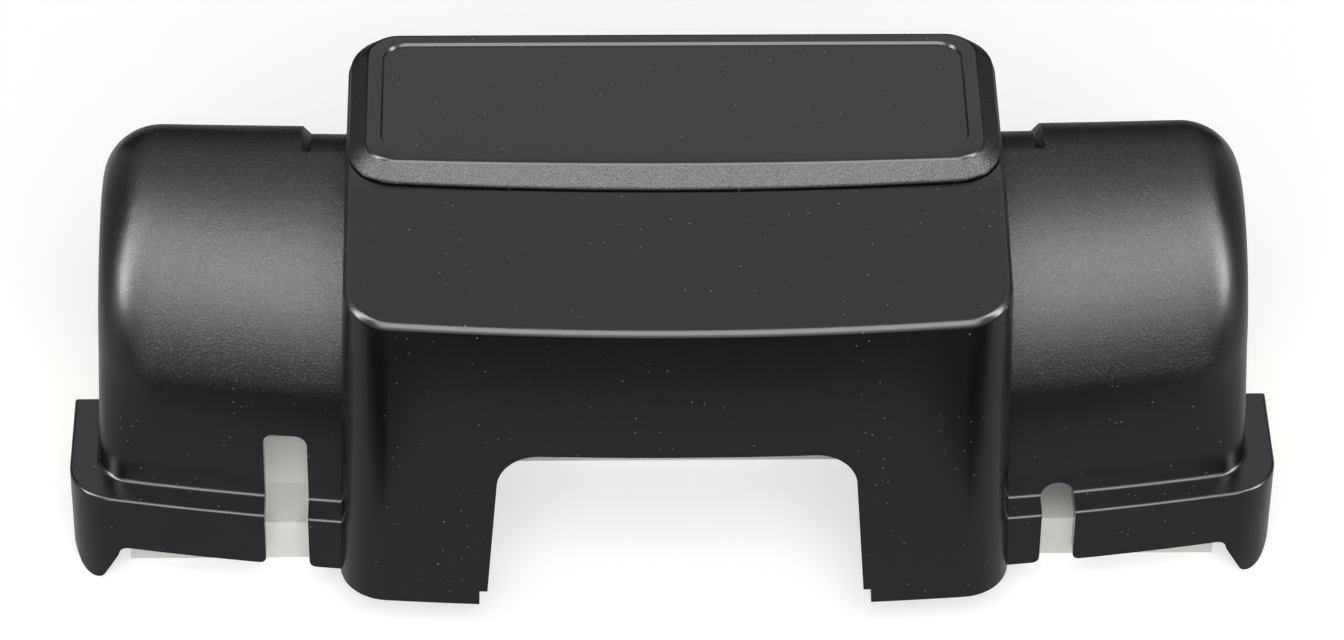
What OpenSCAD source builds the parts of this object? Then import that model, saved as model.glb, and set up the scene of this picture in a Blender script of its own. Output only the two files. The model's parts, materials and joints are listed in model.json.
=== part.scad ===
// Battery monitor shunt under a moulded cover.
// Millimetres, +Z up, the front with the cable notch faces -Y.
// Depths are measured from the front of the cover's centre block and turned into Y by at().

/* [Cover rim] */
// Width of the cover over its end skirts
cover_w = 125; // [122:0.5:132]
// Depth from the front of the centre block to the back skirt
cover_d = 48; // [47:0.5:54]
// Thickness of the cover's walls
wall = 2; // [1.6:0.1:2.4]
// Height of the cover's rim above the mounting surface
rim_z = 5; // [4:0.1:6]
// Height of the skirt
skirt_h = 6.6; // [5.5:0.1:8]
// Width of the ledge between skirt and hoods
ledge_w = 3; // [2.6:0.1:3.6]
// Radius of the skirt's corners in plan
skirt_corner_r = 5.5; // [4.5:0.1:6.5]
// Radius of the bow of the wings' front in plan
wing_bow_r = 310; // [260:10:500]
// Rounding of the skirt's upper edge
ledge_edge = 0.4; // [0.2:0.05:0.6]

/* [Cover feet] */
// Width of a hooked foot where it leaves the rim
foot_w = 5; // [4.5:0.1:6]
// Radius of a foot's tip
foot_tip_r = 1.5; // [1:0.1:1.8]
// Distance of a foot's tip from the cover's end
foot_tip_x = 2; // [1.8:0.1:3]
// Radius of the hollow where a foot leaves the rim
foot_root_r = 1; // [0.6:0.1:1.4]

/* [Cover hoods] */
// Height of a hood's upright wall above the ledge
hood_wall_h = 12.8; // [12:0.1:16]
// Rise of a hood's round top above its upright wall
hood_rise = 17.25; // [16:0.05:19]
// Rounding of a hood's end, along its round top
hood_end_r = 5.6; // [5:0.1:8]
// Rounding of a hood's end, at its foot
hood_foot_r = 3; // [2:0.1:4]
// Draft of the hoods' and the block's side walls in degrees
side_draft = 1.9; // [0.5:0.1:2.5]
// Width of the shallow recess on a hood beside the block
recess_w = 3.8; // [2:0.1:6]
// Depth of that recess
recess_depth = 0.8; // [0.4:0.1:1.2]
// Distance of the recess behind a hood's crest
recess_start = 2.4; // [1:0.1:5]

/* [Cover centre block] */
// Width of the centre block at the rim
block_w = 69.2; // [68:0.1:74]
// How far the block stands in front of the skirt
block_lead = 4.15; // [3:0.05:6]
// Radius of the bow of the block's front in plan
block_bow_r = 350; // [280:10:600]
// Radius of the block's front corners in plan
block_corner_r = 5.2; // [3.5:0.1:6]
// Radius of the block's back corners in plan
block_back_r = 5; // [3.5:0.1:6]
// Height of the block's front wall above the rim
block_wall_h = 36.85; // [36:0.05:42]
// Lean of the block's front wall over its height
block_front_lean = 0.4; // [0:0.1:1]
// Rounding of the ridge between front wall and shoulder
ridge_edge = 0.8; // [0.4:0.1:1.2]
// Rise of the shoulder from the ridge to the raised top
shoulder_rise = 2.9; // [1:0.1:5]
// Depth at which the raised top begins
shoulder_d = 19; // [16:0.1:22]
// Set-back of the raised top from the block's sides
plateau_step = 0.15; // [0.1:0.05:0.6]
// Upright foot of the raised top
plateau_foot = 0.3; // [0.1:0.05:0.6]
// Width of the bevel round the raised top
plateau_bevel = 2; // [1.2:0.1:2.6]
// Height of the bevel round the raised top
plateau_bevel_h = 1.85; // [1.2:0.05:2.6]
// Radius of the bow of the top face's front edge in plan
top_bow_r = 650; // [350:10:900]
// Radius of the raised top's corners in plan
plateau_corner_r = 5; // [4:0.1:7]
// Gap between the raised top and the block's back wall
plateau_back_gap = 1.3; // [0.8:0.1:3]
// Inset of the sunk panel from the edge of the top face
panel_inset = 2.7; // [1.5:0.1:5]
// Depth of the sunk panel
panel_depth = 0.25; // [0.15:0.05:0.5]
// Radius of the sunk panel's corners
panel_r = 3; // [1:0.1:5]

/* [Cover openings] */
// Width of the cable notch at its top
notch_w = 35.8; // [30:0.1:42]
// How much the notch widens on each side down to the rim
notch_flare = 1.5; // [0:0.1:2]
// Height of the notch above the rim
notch_h = 20.45; // [15:0.05:24]
// Radius of the notch's upper corners
notch_r = 4; // [2:0.1:6]
// Width of the small step at the foot of the notch
notch_step_w = 0.7; // [0.3:0.1:1.2]
// Height of that step
notch_step_h = 1.8; // [1:0.1:3]
// Distance of the tall wire slot from the middle
tall_slot_x = 39.9; // [39:0.1:46]
// Width of the tall wire slot
tall_slot_w = 4.5; // [4.3:0.1:6]
// Height of the tall wire slot above the rim
tall_slot_h = 14.9; // [12:0.1:17]
// Radius of the tall slot's upper corners
tall_slot_r = 1.2; // [0.3:0.1:1.5]
// Distance of the short wire slot from the middle
short_slot_x = 39.5; // [39:0.1:46]
// Width of the short, arched wire slot
short_slot_w = 3.5; // [3:0.1:5]
// Height of the short wire slot above the rim
short_slot_h = 8.1; // [6:0.1:11]
// Splay of the slots at the rim
slot_splay = 0.7; // [0:0.1:1]
// Depth at which the end skirts stop and the cable openings begin
end_opening_d = 25.2; // [24.5:0.1:27]
// Width of the cable openings in the ends
end_opening_w = 17; // [14:0.1:17.4]
// Height of the cable openings above the rim
end_opening_h = 26.5; // [24:0.1:28]
// Radius of the cable openings' upper corners
end_opening_r = 6; // [3:0.1:8]

/* [Base] */
// Gap between the base's front edge and the skirt's inside
base_gap = 1.8; // [1:0.1:2.5]
// Height of the pedestals under the terminal blocks
pedestal_h = 3.5; // [3:0.1:5]
// Depth at which the spine between the pedestals begins
spine_d = 28; // [26:0.1:31]
// Height of the locating lips in front of the terminal blocks
lip_h = 3; // [2:0.1:4]
// Thickness of the locating lips
lip_t = 1.2; // [1:0.1:1.6]
// Length of a locating lip
lip_w = 9; // [6:0.1:12]
// Length of the tabs under the end skirts
tab_d = 7.6; // [5:0.1:8]
// Distance of the mounting holes from the ends of the base
mount_edge = 6.6; // [5:0.1:8]
// Radius of the mounting holes
mount_hole_r = 2.25; // [1.6:0.05:2.6]

/* [Terminals] */
// Length of a terminal block
bar_len = 30.5; // [29.5:0.1:32]
// Depth of a terminal block
bar_d = 20; // [19:0.1:21]
// Height of a terminal block
bar_h = 11; // [10:0.1:13]
// Gap from a terminal block's outer end to the cover
bar_end_gap = 0.9; // [0.6:0.1:1.6]
// Gap from a terminal block's back to the cover
bar_back_gap = 2.4; // [1.5:0.1:3]
// Radius of a terminal block's upright edges
bar_edge_r = 1; // [0.5:0.1:2]
// Distance of a terminal bolt from the block's outer end
bolt_inset = 10.5; // [10.4:0.1:11.2]
// Number of resistance blades
blade_count = 5; // [3:1:6]
// Thickness of a blade
blade_t = 1.2; // [0.8:0.1:1.6]
// Height of a blade
blade_h = 8.6; // [6:0.1:9]
// Distance between neighbouring blades
blade_pitch = 3.6; // [3:0.1:3.8]
// Depth of the blades' solder slots
blade_seat = 3.5; // [2:0.1:3.6]
// Radius of the terminal bolts' shanks
bolt_r = 5; // [4:0.1:5]
// Width across the flats of the terminal bolts' heads
bolt_af = 16; // [13:0.5:17]
// Height of the terminal bolts' heads
bolt_head_h = 6.4; // [5.3:0.1:7]
// Margin of the block round a flat washer
washer_edge = 0.4; // [0.2:0.1:1]
// Thickness of the flat washers
washer_t = 2; // [1.6:0.1:2.5]
// Margin of the flat washer round a spring washer
spring_washer_edge = 0.8; // [0.4:0.1:1.6]
// Thickness of the spring washers
spring_washer_t = 2.2; // [1.8:0.1:2.6]
// Radius of the screws that hold the terminal blocks on the base
block_screw_r = 2; // [1.5:0.1:2.2]
// Length of those screws above the base plate
block_screw_len = 10; // [8:0.1:11]

/* [Circuit board] */
// Thickness of the board
board_t = 1.6; // [1:0.1:2]
// Depth at which the board's front edge lies
board_front = 9; // [8:0.1:10]
// Width of the board's front part
board_tongue_w = 54; // [52:0.5:56]
// How far the board reaches over the terminal blocks
board_lap = 8.5; // [8.2:0.1:8.8]
// Height of the standoffs
standoff_h = 6; // [5:0.1:7]
// Width across the flats of the standoffs
standoff_af = 5.5; // [4:0.1:6]
// Radius of the screws that hold the board
board_screw_r = 1.25; // [1:0.05:1.3]

/* [Hidden] */

$fn = 48;
bow_steps = 13;
corner_steps = 7;
corner_fn = 28;
arc_steps = 32;
end_steps = 6;
skin = 0.3;
past = 1;
least_r = 1;

// Colours
black_plastic = "#232326";
white_plastic = "#ece9df";
brass = "#b8964c";
manganin = "#9a7a62";
steel = "#b9bcc0";
board_green = "#1f5a3a";
chip_black = "#2b2b2e";
socket_white = "#e9e4d4";
terminal_green = "#3c8f52";
can_silver = "#c9ccd0";

// Heights of the cover
ledge_z = rim_z + skirt_h;
spring_z = ledge_z + hood_wall_h;
ridge_z = rim_z + block_wall_h;
shoulder_z = ridge_z + shoulder_rise;
top_z = shoulder_z + plateau_foot + plateau_bevel_h;

// Depths and half-widths of the cover
half_w = cover_w / 2;
hood_end = half_w - ledge_w;
hood_front = block_lead + ledge_w;
hood_back = cover_d - ledge_w;
block_half = block_w / 2;
block_top_half = block_half - lean(block_wall_h);
plateau_back = hood_back - plateau_back_gap;
shoulder_slope = shoulder_rise / (shoulder_d - block_front_lean);
hood_root_x = block_top_half - wall - past;
foremost = block_front_lean * notch_h / block_wall_h;
middle_d = round(50 * (foremost + cover_d)) / 100;

// Places of the shunt, from the cover's inside
bar_outer_x = hood_end - wall - bar_end_gap;
bar_inner_x = bar_outer_x - bar_len;
bar_back = hood_back - wall - bar_back_gap;
bar_front = bar_back - bar_d;
bar_axis = bar_back - bar_d / 2;
bar_z = rim_z + pedestal_h;
bar_top_z = bar_z + bar_h;
bar_fit = 0.1;
bolt_x = bar_outer_x - bolt_inset;
washer_r = bar_d / 2 - washer_edge;
spring_washer_r = washer_r - spring_washer_edge;
bolt_gap = 0.1;
washer_gap = 0.2;
blade_gap = 0.15;
hole_spare = 0.5;

// Base
base_front = block_lead + bow(bar_outer_x, wing_bow_r) + wall + base_gap;
base_back = cover_d - wall / 2;
mount_x = bar_outer_x - mount_edge;
tab_gap = 0.2;
tab_back = end_opening_d - tab_gap;
tab_end_gap = 0.6;
tab_end_x = half_w - tab_end_gap;
block_screw_in = 10.5;
block_screw_x = bar_inner_x + block_screw_in;
block_screw_edge = 4.5;
block_screw_y = bar_d / 2 - block_screw_edge;
block_head_r = 1.8 * block_screw_r;
block_head_h = 1.4 * block_screw_r;
screw_clear = 0.2;
head_clear = 0.4;
hollow_wall = 3;

// Board
board_z = bar_top_z + standoff_h;
board_top_z = board_z + board_t;
board_edge_gap = 0.5;
board_main_front = bar_front + board_edge_gap;
board_half = bar_inner_x + board_lap;
board_corner_r = 1;
board_overlap = 5;
standoff_in = 5.5;
standoff_x = bar_inner_x + standoff_in;
standoff_edge = 3.5;
standoff_y = bar_d / 2 - standoff_edge;
stud_r = 1.5;
stud_len = 5;
board_head_r = 2.2 * board_screw_r;
board_head_h = 1.8;
board_screw_len = 5;
driver_slot_w = 0.6;

// Sizes of the pieces on the board
leg_reach = 0.9;
controller_w = 8;
controller_reach = controller_w / 2 + leg_reach;
amplifier_w = 5;
amplifier_d = 4;
radio_w = 13;
radio_d = 17;
radio_t = 0.8;
inductor_w = 7;
can_r = 3.1;
can_foot = 2 * can_r + 0.4;
socket_in = 12;
socket_w = 12;
socket_d = 6;
socket_h = 6;
socket_wall = 0.8;
socket_back = 1.2;
pin_count = 4;
pin_pitch = 2.2;
pin_w = 0.64;
pin_z = socket_h / 2 - pin_w / 2;
terminal_pole = 5;
terminal_gap = 4;
terminal_in = 6;
terminal_d = 8;
terminal_h = 9.5;
terminal_bevel = 1.5;
terminal_bevel_h = 3;
clamp_r = 1.8;
clamp_z = 5.6;

// Layout of the board: a front row of connectors, and parts between the screws behind it
board_d = bar_back - board_front;
front_row_d = 0.3;
front_row_end = front_row_d + terminal_d;
part_gap = 0.3;
row_gap = 1.2;
field = standoff_x - board_head_r - part_gap;
second_row_d = front_row_end + row_gap;
radio_x = -field + radio_w / 2;
radio_at_d = board_d - 1 - radio_d / 2;
controller_x = -field + radio_w + controller_reach + part_gap;
inductor_x = controller_x + controller_reach + part_gap + inductor_w / 2;
can_x = field - can_foot / 2;
amplifier_x = can_x - can_foot / 2 - row_gap - amplifier_w / 2;
socket_x = socket_in - board_tongue_w / 2;

// Depth behind the block's front as a Y coordinate, with Y = 0 in the middle of the whole part
function at(d) = d - middle_d;
// Set-back of a bowed front at a distance x from the middle
function bow(x, r) = r - sqrt(r * r - x * x);
// Lean of a drafted wall over a height
function lean(h) = h * tan(side_draft);
// How far a rounded end has drawn in at x
function drawn_in(x, end, r) = x > end - r ? r - sqrt(max(0, r * r - pow(x - end + r, 2))) : 0;

// Cover

// Points of an arc about a centre, with angles counted from the front
function arc(centre, r, from, to, steps) =
    [for (k = [0:steps])
        let (turn = from + (to - from) * k / steps)
        centre + r * [sin(turn), -cos(turn)]];

// Outline with a bowed front and rounded corners
function bowed_outline(half, front, back, bow_r, corner, back_corner) =
    let (
        centre = [0, at(front) + bow_r],
        tangent = asin((half - corner) / (bow_r - corner)),
        pivot = centre + (bow_r - corner) * [sin(tangent), -cos(tangent)],
        bow_points = arc(centre, bow_r, -tangent, tangent, bow_steps),
        right_back = arc([half - back_corner, at(back) - back_corner], back_corner, 90, 180, corner_steps),
        right = concat(arc(pivot, corner, tangent, 90, corner_steps), right_back),
        count = len(right)
    )
    concat(
        [for (k = [1:bow_steps - 1]) bow_points[k]],
        right,
        [for (k = [count - 1:-1:0]) [-right[k][0], right[k][1]]]
    );

// Ring of an outline at a height, clockwise as seen from above
function level(outline, z) = [for (k = [len(outline) - 1:-1:0]) [outline[k][0], outline[k][1], z]];

// Thin sheet of a plan under a height, a slice for a hull
module sheet(z) {
    translate([0, 0, z - skin]) linear_extrude(skin) children();
}

// Cross-section of a hood at x, drawn in by an inset, from the front foot over the top
function hood_ring(x, inset, low) =
    let (
        end = hood_end - inset,
        top_in = drawn_in(x, end, hood_end_r - inset),
        foot_in = drawn_in(x, end, max(hood_foot_r - inset, least_r)),
        front = at(hood_front + bow(x, wing_bow_r)) + inset,
        back = at(hood_back) - inset,
        tilt = lean(spring_z - ledge_z),
        mid = (front + back) / 2,
        half_d = (back - front) / 2 - tilt - top_in,
        rise = hood_rise - inset - top_in
    )
    [for (p = concat(
            [[front + foot_in, low]],
            [for (k = [0:arc_steps])
                let (turn = 180 * k / arc_steps)
                [mid - half_d * cos(turn), spring_z + rise * sin(turn)]],
            [[back - foot_in, low]]
        )) [x - lean(p[1] - ledge_z), p[0], p[1]]];

// Places along X at which a hood's cross-section is taken
function hood_stations(inset) =
    let (end = hood_end - inset, r = hood_end_r - inset, straight = end - r)
    concat(
        [for (k = [0:3]) hood_root_x + (straight - hood_root_x) * k / 4],
        [for (k = [0:end_steps]) straight + r * sin(90 * k / end_steps)]
    );

// Skin over a row of rings with the same number of points, each clockwise as seen from the next one
module loft(rings) {
    count = len(rings[0]);
    last = len(rings) - 1;
    points = [for (ring = rings) each ring];
    sides = [for (i = [0:last - 1], j = [0:count - 1])
        let (a = i * count + j, b = i * count + (j + 1) % count)
        each [[a, b, b + count], [a, b + count, a + count]]];
    caps = [
        [for (j = [count - 1:-1:0]) j],
        [for (j = [0:count - 1]) last * count + j]
    ];
    polyhedron(points = points, faces = concat(sides, caps));
}

// One hood, on the side of positive X
module hood(inset, low) {
    loft([for (x = hood_stations(inset)) hood_ring(x, inset, low)]);
}

// Both hoods
module hoods(inset, low) {
    hood(inset, low);
    mirror([1, 0, 0]) hood(inset, low);
}

// Shallow recesses on the back of the hoods, beside the block
module hood_recesses() {
    crest = (hood_front + bow(block_half, wing_bow_r) + hood_back) / 2;
    for (side = [0, 1])
        mirror([side, 0, 0])
            difference() {
                translate([hood_root_x, at(crest + recess_start), ledge_z + wall])
                    cube([block_top_half + recess_w - hood_root_x, cover_d, ridge_z]);
                hood(recess_depth, rim_z);
            }
}

// Outline of the block at its rim or at its top
function block_outline(half, front, back, inset) =
    bowed_outline(half - inset, front + inset, back - inset, block_bow_r,
        max(block_corner_r - inset, least_r), max(block_back_r - inset, least_r));

// Top sheet of the block: a sloped shoulder in front and a level part behind it
module block_top(inset, drop) {
    back = hood_back - lean(block_wall_h);
    module part_plan(from, to) {
        intersection() {
            polygon(block_outline(block_top_half, block_front_lean, back, inset));
            translate([-block_half, at(from)]) square([block_w, to - from]);
        }
    }
    lift = ridge_z - drop - shoulder_slope * at(block_front_lean);
    multmatrix([[1, 0, 0, 0], [0, 1, 0, 0], [0, shoulder_slope, 1, lift]])
        sheet(0) part_plan(0, shoulder_d);
    sheet(shoulder_z - drop) part_plan(shoulder_d, cover_d);
}

// Centre block under its raised top
module block_body(inset, low) {
    ridge_draw = 0.7 * ridge_edge;
    hull() {
        sheet(low + skin) polygon(block_outline(block_half, 0, hood_back, inset));
        block_top(inset, inset + ridge_edge);
        block_top(inset + ridge_draw, inset);
    }
}

// Outline of the raised top, drawn in by an inset
function plateau_outline(inset, bow_r, corner) =
    bowed_outline(block_top_half - lean(shoulder_rise) - plateau_step - inset, shoulder_d + inset,
        plateau_back - inset, bow_r, corner, corner);

// Raised top with its bevel
module plateau(inset) {
    foot = plateau_outline(inset, block_bow_r, max(plateau_corner_r - inset, least_r));
    top = plateau_outline(inset + plateau_bevel, top_bow_r,
        max(plateau_corner_r - inset - plateau_bevel, least_r));
    loft([
        level(foot, ridge_z - inset),
        level(foot, shoulder_z + plateau_foot - inset),
        level(top, top_z - inset)
    ]);
}

// Sunk panel in the top face
module top_panel() {
    translate([0, 0, top_z - panel_depth])
        linear_extrude(past) polygon(plateau_outline(plateau_bevel + panel_inset, top_bow_r, panel_r));
}

// Outline of the skirt, drawn in by an inset
function skirt_outline(inset) =
    bowed_outline(half_w - inset, block_lead + inset, cover_d - inset, wing_bow_r,
        skirt_corner_r - inset, skirt_corner_r - inset);

// Skirt with a softened upper edge, drawn down to the feet's tips
module skirt() {
    loft([
        level(skirt_outline(0), 0),
        level(skirt_outline(0), ledge_z - ledge_edge),
        level(skirt_outline(ledge_edge), ledge_z)
    ]);
}

// Prong of a foot through the skirt's left front corner: from a flared root at the rim to a round tip
module prong() {
    waist_z = rim_z - foot_root_r;
    corner_d = block_lead + bow(half_w - skirt_corner_r, wing_bow_r);
    deep = skirt_corner_r + past;
    module layer(w, z) {
        translate([-past, 0, z - skin]) cube([w + past, deep, skin]);
    }
    translate([-half_w, at(corner_d) - past, 0]) {
        hull() {
            translate([foot_tip_x, 0, foot_tip_r])
                rotate([-90, 0, 0]) cylinder(r = foot_tip_r, h = deep, $fn = corner_fn);
            layer(foot_w, waist_z);
        }
        hull() {
            layer(foot_w, waist_z);
            layer(foot_w + foot_root_r, rim_z + past);
        }
    }
}

// What is cut away under the rim, so that only the hooked feet at the front corners are left
module under_rim() {
    difference() {
        translate([-cover_w, -cover_d, -past]) cube([2 * cover_w, 2 * cover_d, rim_z + past]);
        for (side = [0, 1])
            mirror([side, 0, 0]) prong();
    }
}

// Cable notch in the block's front wall
module notch() {
    top = rim_z + notch_h;
    below = rim_z - past;
    half = notch_w / 2;
    translate([0, at(block_lead), 0])
        rotate([90, 0, 0])
            linear_extrude(block_lead + past) {
                offset(r = notch_r, $fn = corner_fn)
                    offset(delta = -notch_r)
                        polygon([[-half, top], [half, top],
                            [half + 2 * notch_flare, rim_z - notch_h],
                            [-half - 2 * notch_flare, rim_z - notch_h]]);
                translate([-half - notch_flare - notch_step_w, below])
                    square([2 * (half + notch_flare + notch_step_w), past + notch_step_h]);
            }
}

// Cuts a wire slot's outline through the skirt and the hood's front wall at x
module through_wing_front(x) {
    deep = hood_front + bow(x, wing_bow_r) + wall + past;
    translate([0, at(deep), 0])
        rotate([90, 0, 0])
            linear_extrude(deep - block_lead + past)
                translate([x, rim_z]) children();
}

// Splay of a wire slot at the rim
module slot_mouth(w) {
    polygon([[-w / 2, 2 * slot_splay], [w / 2, 2 * slot_splay],
        [w / 2 + slot_splay, 0], [w / 2 + slot_splay, -past],
        [-w / 2 - slot_splay, -past], [-w / 2 - slot_splay, 0]]);
}

// Tall slot on the left and short arched slot on the right
module wire_slots() {
    through_wing_front(-tall_slot_x) {
        offset(r = tall_slot_r, $fn = corner_fn)
            offset(delta = -tall_slot_r)
                translate([-tall_slot_w / 2, -rim_z])
                    square([tall_slot_w, rim_z + tall_slot_h]);
        slot_mouth(tall_slot_w);
    }
    through_wing_front(short_slot_x) {
        translate([0, short_slot_h - short_slot_w / 2]) circle(short_slot_w / 2, $fn = corner_fn);
        translate([-short_slot_w / 2, -past])
            square([short_slot_w, past + short_slot_h - short_slot_w / 2]);
        slot_mouth(short_slot_w);
    }
}

// Cable openings in the two ends
module end_openings() {
    from_x = hood_end - hood_end_r - past;
    for (side = [0, 1])
        mirror([side, 0, 0])
            translate([from_x, at(end_opening_d), 0])
                rotate([90, 0, 90])
                    linear_extrude(half_w + past - from_x)
                        offset(r = end_opening_r, $fn = corner_fn)
                            offset(delta = -end_opening_r)
                                translate([0, rim_z - end_opening_h])
                                    square([end_opening_w, 2 * end_opening_h]);
}

// What is cut off the skirt's ends behind the beginning of the cable openings
module end_skirts() {
    for (side = [0, 1])
        mirror([side, 0, 0])
            translate([hood_end + ledge_edge, at(end_opening_d), -past])
                cube([half_w, cover_d, ledge_z + 2 * past]);
}

// Moulded cover
module cover() {
    color(black_plastic)
        difference() {
            union() {
                difference() {
                    union() {
                        skirt();
                        hoods(0, ledge_z - past);
                    }
                    hood_recesses();
                }
                block_body(0, 0);
                plateau(0);
            }
            under_rim();
            translate([0, 0, -past])
                linear_extrude(ledge_z - wall + past) polygon(skirt_outline(wall));
            hoods(wall, -past);
            block_body(wall, -past);
            plateau(wall);
            top_panel();
            notch();
            wire_slots();
            end_openings();
            end_skirts();
        }
}

// Base

// Rounded rectangle with its lower corner at the origin
module round_rect(size_x, size_y, r) {
    translate([r, 0]) square([size_x - 2 * r, size_y]);
    translate([0, r]) square([size_x, size_y - 2 * r]);
    for (x = [r, size_x - r], y = [r, size_y - r]) translate([x, y]) circle(r);
}

// Both sides of the middle
module both_sides() {
    for (side = [0, 1]) mirror([side, 0, 0]) children();
}

// Places of the screws that hold one terminal block
module at_block_screws() {
    for (y = [-block_screw_y, block_screw_y])
        translate([block_screw_x, at(bar_axis) + y, 0]) children();
}

// Places of the standoffs on one terminal block
module at_standoffs() {
    for (y = [-standoff_y, standoff_y])
        translate([standoff_x, at(bar_axis) + y, 0]) children();
}

// Outline of the base plate
module base_plan() {
    tab_front = tab_back - tab_d;
    both_sides() {
        translate([bar_inner_x - lip_t, at(base_front)])
            square([bar_outer_x - bar_inner_x + lip_t, spine_d - base_front + past]);
        translate([bar_outer_x - past, at(tab_front)])
            square([tab_end_x - bar_outer_x + past, tab_d]);
    }
    translate([-bar_outer_x, at(spine_d)])
        square([2 * bar_outer_x, base_back - spine_d]);
}

// Moulded base: plate, pedestals, locating lips, screw holes and hollows below
module base() {
    color(white_plastic)
        difference() {
            union() {
                linear_extrude(rim_z) base_plan();
                both_sides() {
                    translate([bar_inner_x, at(bar_front), 0])
                        cube([bar_len, bar_d, bar_z]);
                    translate([tall_slot_x - lip_w / 2, at(bar_front) - bar_fit - lip_t, 0])
                        cube([lip_w, lip_t, bar_z + lip_h]);
                    translate([tall_slot_x - lip_w / 2, at(bar_front) - bar_fit - lip_t, 0])
                        cube([lip_w, lip_t + past, bar_z]);
                }
            }
            both_sides() {
                at_block_screws() {
                    translate([0, 0, -past])
                        cylinder(r = block_screw_r + screw_clear, h = bar_z + 2 * past);
                    translate([0, 0, -past])
                        cylinder(r = block_head_r + head_clear, h = rim_z + past);
                }
                translate([mount_x, at((base_front + bar_front) / 2), -past])
                    cylinder(r = mount_hole_r, h = rim_z + 2 * past);
                translate([block_screw_x + block_head_r + past, at(bar_front) + hollow_wall, -past])
                    cube([bar_outer_x - block_screw_x - block_head_r - past - hollow_wall,
                        bar_d - 2 * hollow_wall, bar_z - hollow_wall + past]);
            }
        }
}

// Terminal blocks

// One brass block on the side of positive X, with its blade slots and holes
module terminal_bar() {
    translate([0, 0, bar_z])
        difference() {
            translate([bar_inner_x, at(bar_front), 0])
                linear_extrude(bar_h) round_rect(bar_len, bar_d, bar_edge_r);
            for (k = [0:blade_count - 1])
                translate([bar_inner_x - past, blade_y(k) - blade_t / 2 - blade_gap,
                        (bar_h - blade_h) / 2 - blade_gap])
                    cube([blade_seat + past, blade_t + 2 * blade_gap, bar_h]);
            translate([bolt_x, at(bar_axis), -past])
                cylinder(r = bolt_r + bolt_gap, h = bar_h + 2 * past);
            at_block_screws()
                translate([0, 0, -past])
                    cylinder(r = block_screw_r + bolt_gap,
                        h = past + block_screw_len - pedestal_h + hole_spare);
            at_standoffs()
                translate([0, 0, bar_h - stud_len - hole_spare])
                    cylinder(r = stud_r + bolt_gap, h = stud_len + past);
        }
}

// Y of a blade's middle
function blade_y(k) = at(bar_axis) + (k - (blade_count - 1) / 2) * blade_pitch;

module battery_block() {
    color(brass) mirror([1, 0, 0]) terminal_bar();
}

module load_block() {
    color(brass) terminal_bar();
}

// Resistance blades between the blocks
module resistor_blades() {
    length = 2 * (bar_inner_x + blade_seat - blade_gap);
    color(manganin)
        for (k = [0:blade_count - 1])
            translate([-length / 2, blade_y(k) - blade_t / 2, bar_z + (bar_h - blade_h) / 2])
                cube([length, blade_t, blade_h]);
}

// Hex head with a turned bevel on top
module hex_head(af, h) {
    r = af / sqrt(3);
    crown_r = 0.95 * af / 2;
    bevel_h = 0.5 * (r - crown_r);
    intersection() {
        rotate(30) cylinder(r = r, h = h, $fn = 6);
        rotate_extrude() polygon([[0, 0], [r, 0], [r, h - bevel_h], [crown_r, h], [0, h]]);
    }
}

// Terminal bolts, one on each block
module terminal_bolts() {
    head_z = bar_top_z + washer_t + spring_washer_t;
    color(steel)
        both_sides()
            translate([bolt_x, at(bar_axis), 0]) {
                translate([0, 0, head_z]) hex_head(bolt_af, bolt_head_h);
                translate([0, 0, bar_z + past]) cylinder(r = bolt_r, h = head_z - bar_z);
            }
}

// Split spring washers under the bolt heads
module spring_washers() {
    split = 1.4;
    color(steel)
        both_sides()
            translate([bolt_x, at(bar_axis), bar_top_z + washer_t])
                difference() {
                    cylinder(r = spring_washer_r, h = spring_washer_t);
                    translate([0, 0, -past])
                        cylinder(r = bolt_r + washer_gap, h = spring_washer_t + 2 * past);
                    translate([-split / 2, -2 * spring_washer_r, -past])
                        cube([split, 2 * spring_washer_r, spring_washer_t + 2 * past]);
                }
}

// Flat washers on the blocks
module flat_washers() {
    color(steel)
        both_sides()
            translate([bolt_x, at(bar_axis), bar_top_z])
                difference() {
                    cylinder(r = washer_r, h = washer_t);
                    translate([0, 0, -past])
                        cylinder(r = bolt_r + washer_gap, h = washer_t + 2 * past);
                }
}

// Screws from below that hold the blocks on the base
module block_screws() {
    key_r = 0.8 * block_screw_r;
    color(steel)
        both_sides()
            at_block_screws() {
                difference() {
                    translate([0, 0, rim_z - block_head_h]) cylinder(r = block_head_r, h = block_head_h);
                    translate([0, 0, rim_z - block_head_h - past])
                        cylinder(r = key_r, h = past + block_head_h / 2, $fn = 6);
                }
                translate([0, 0, rim_z - bolt_gap]) cylinder(r = block_screw_r, h = block_screw_len);
            }
}

// Circuit board

// Hex standoffs on the blocks
module board_standoffs() {
    color(brass)
        both_sides()
            at_standoffs()
                difference() {
                    union() {
                        translate([0, 0, bar_top_z])
                            cylinder(r = standoff_af / sqrt(3), h = standoff_h, $fn = 6);
                        translate([0, 0, bar_top_z - stud_len]) cylinder(r = stud_r, h = stud_len + past);
                    }
                    translate([0, 0, board_z - board_screw_len])
                        cylinder(r = board_screw_r + bolt_gap, h = board_screw_len + past);
                }
}

// Screws that hold the board
module board_screws() {
    cross_len = 1.2 * board_head_r;
    color(steel)
        both_sides()
            at_standoffs()
                difference() {
                    union() {
                        translate([0, 0, board_top_z]) cylinder(r = board_head_r, h = board_head_h);
                        translate([0, 0, board_top_z + bolt_gap - board_screw_len])
                            cylinder(r = board_screw_r, h = board_screw_len);
                    }
                    for (turn = [0, 90])
                        rotate(turn)
                            translate([-cross_len / 2, -driver_slot_w / 2, board_top_z + board_head_h / 2])
                                cube([cross_len, driver_slot_w, board_head_h]);
                }
}

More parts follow.
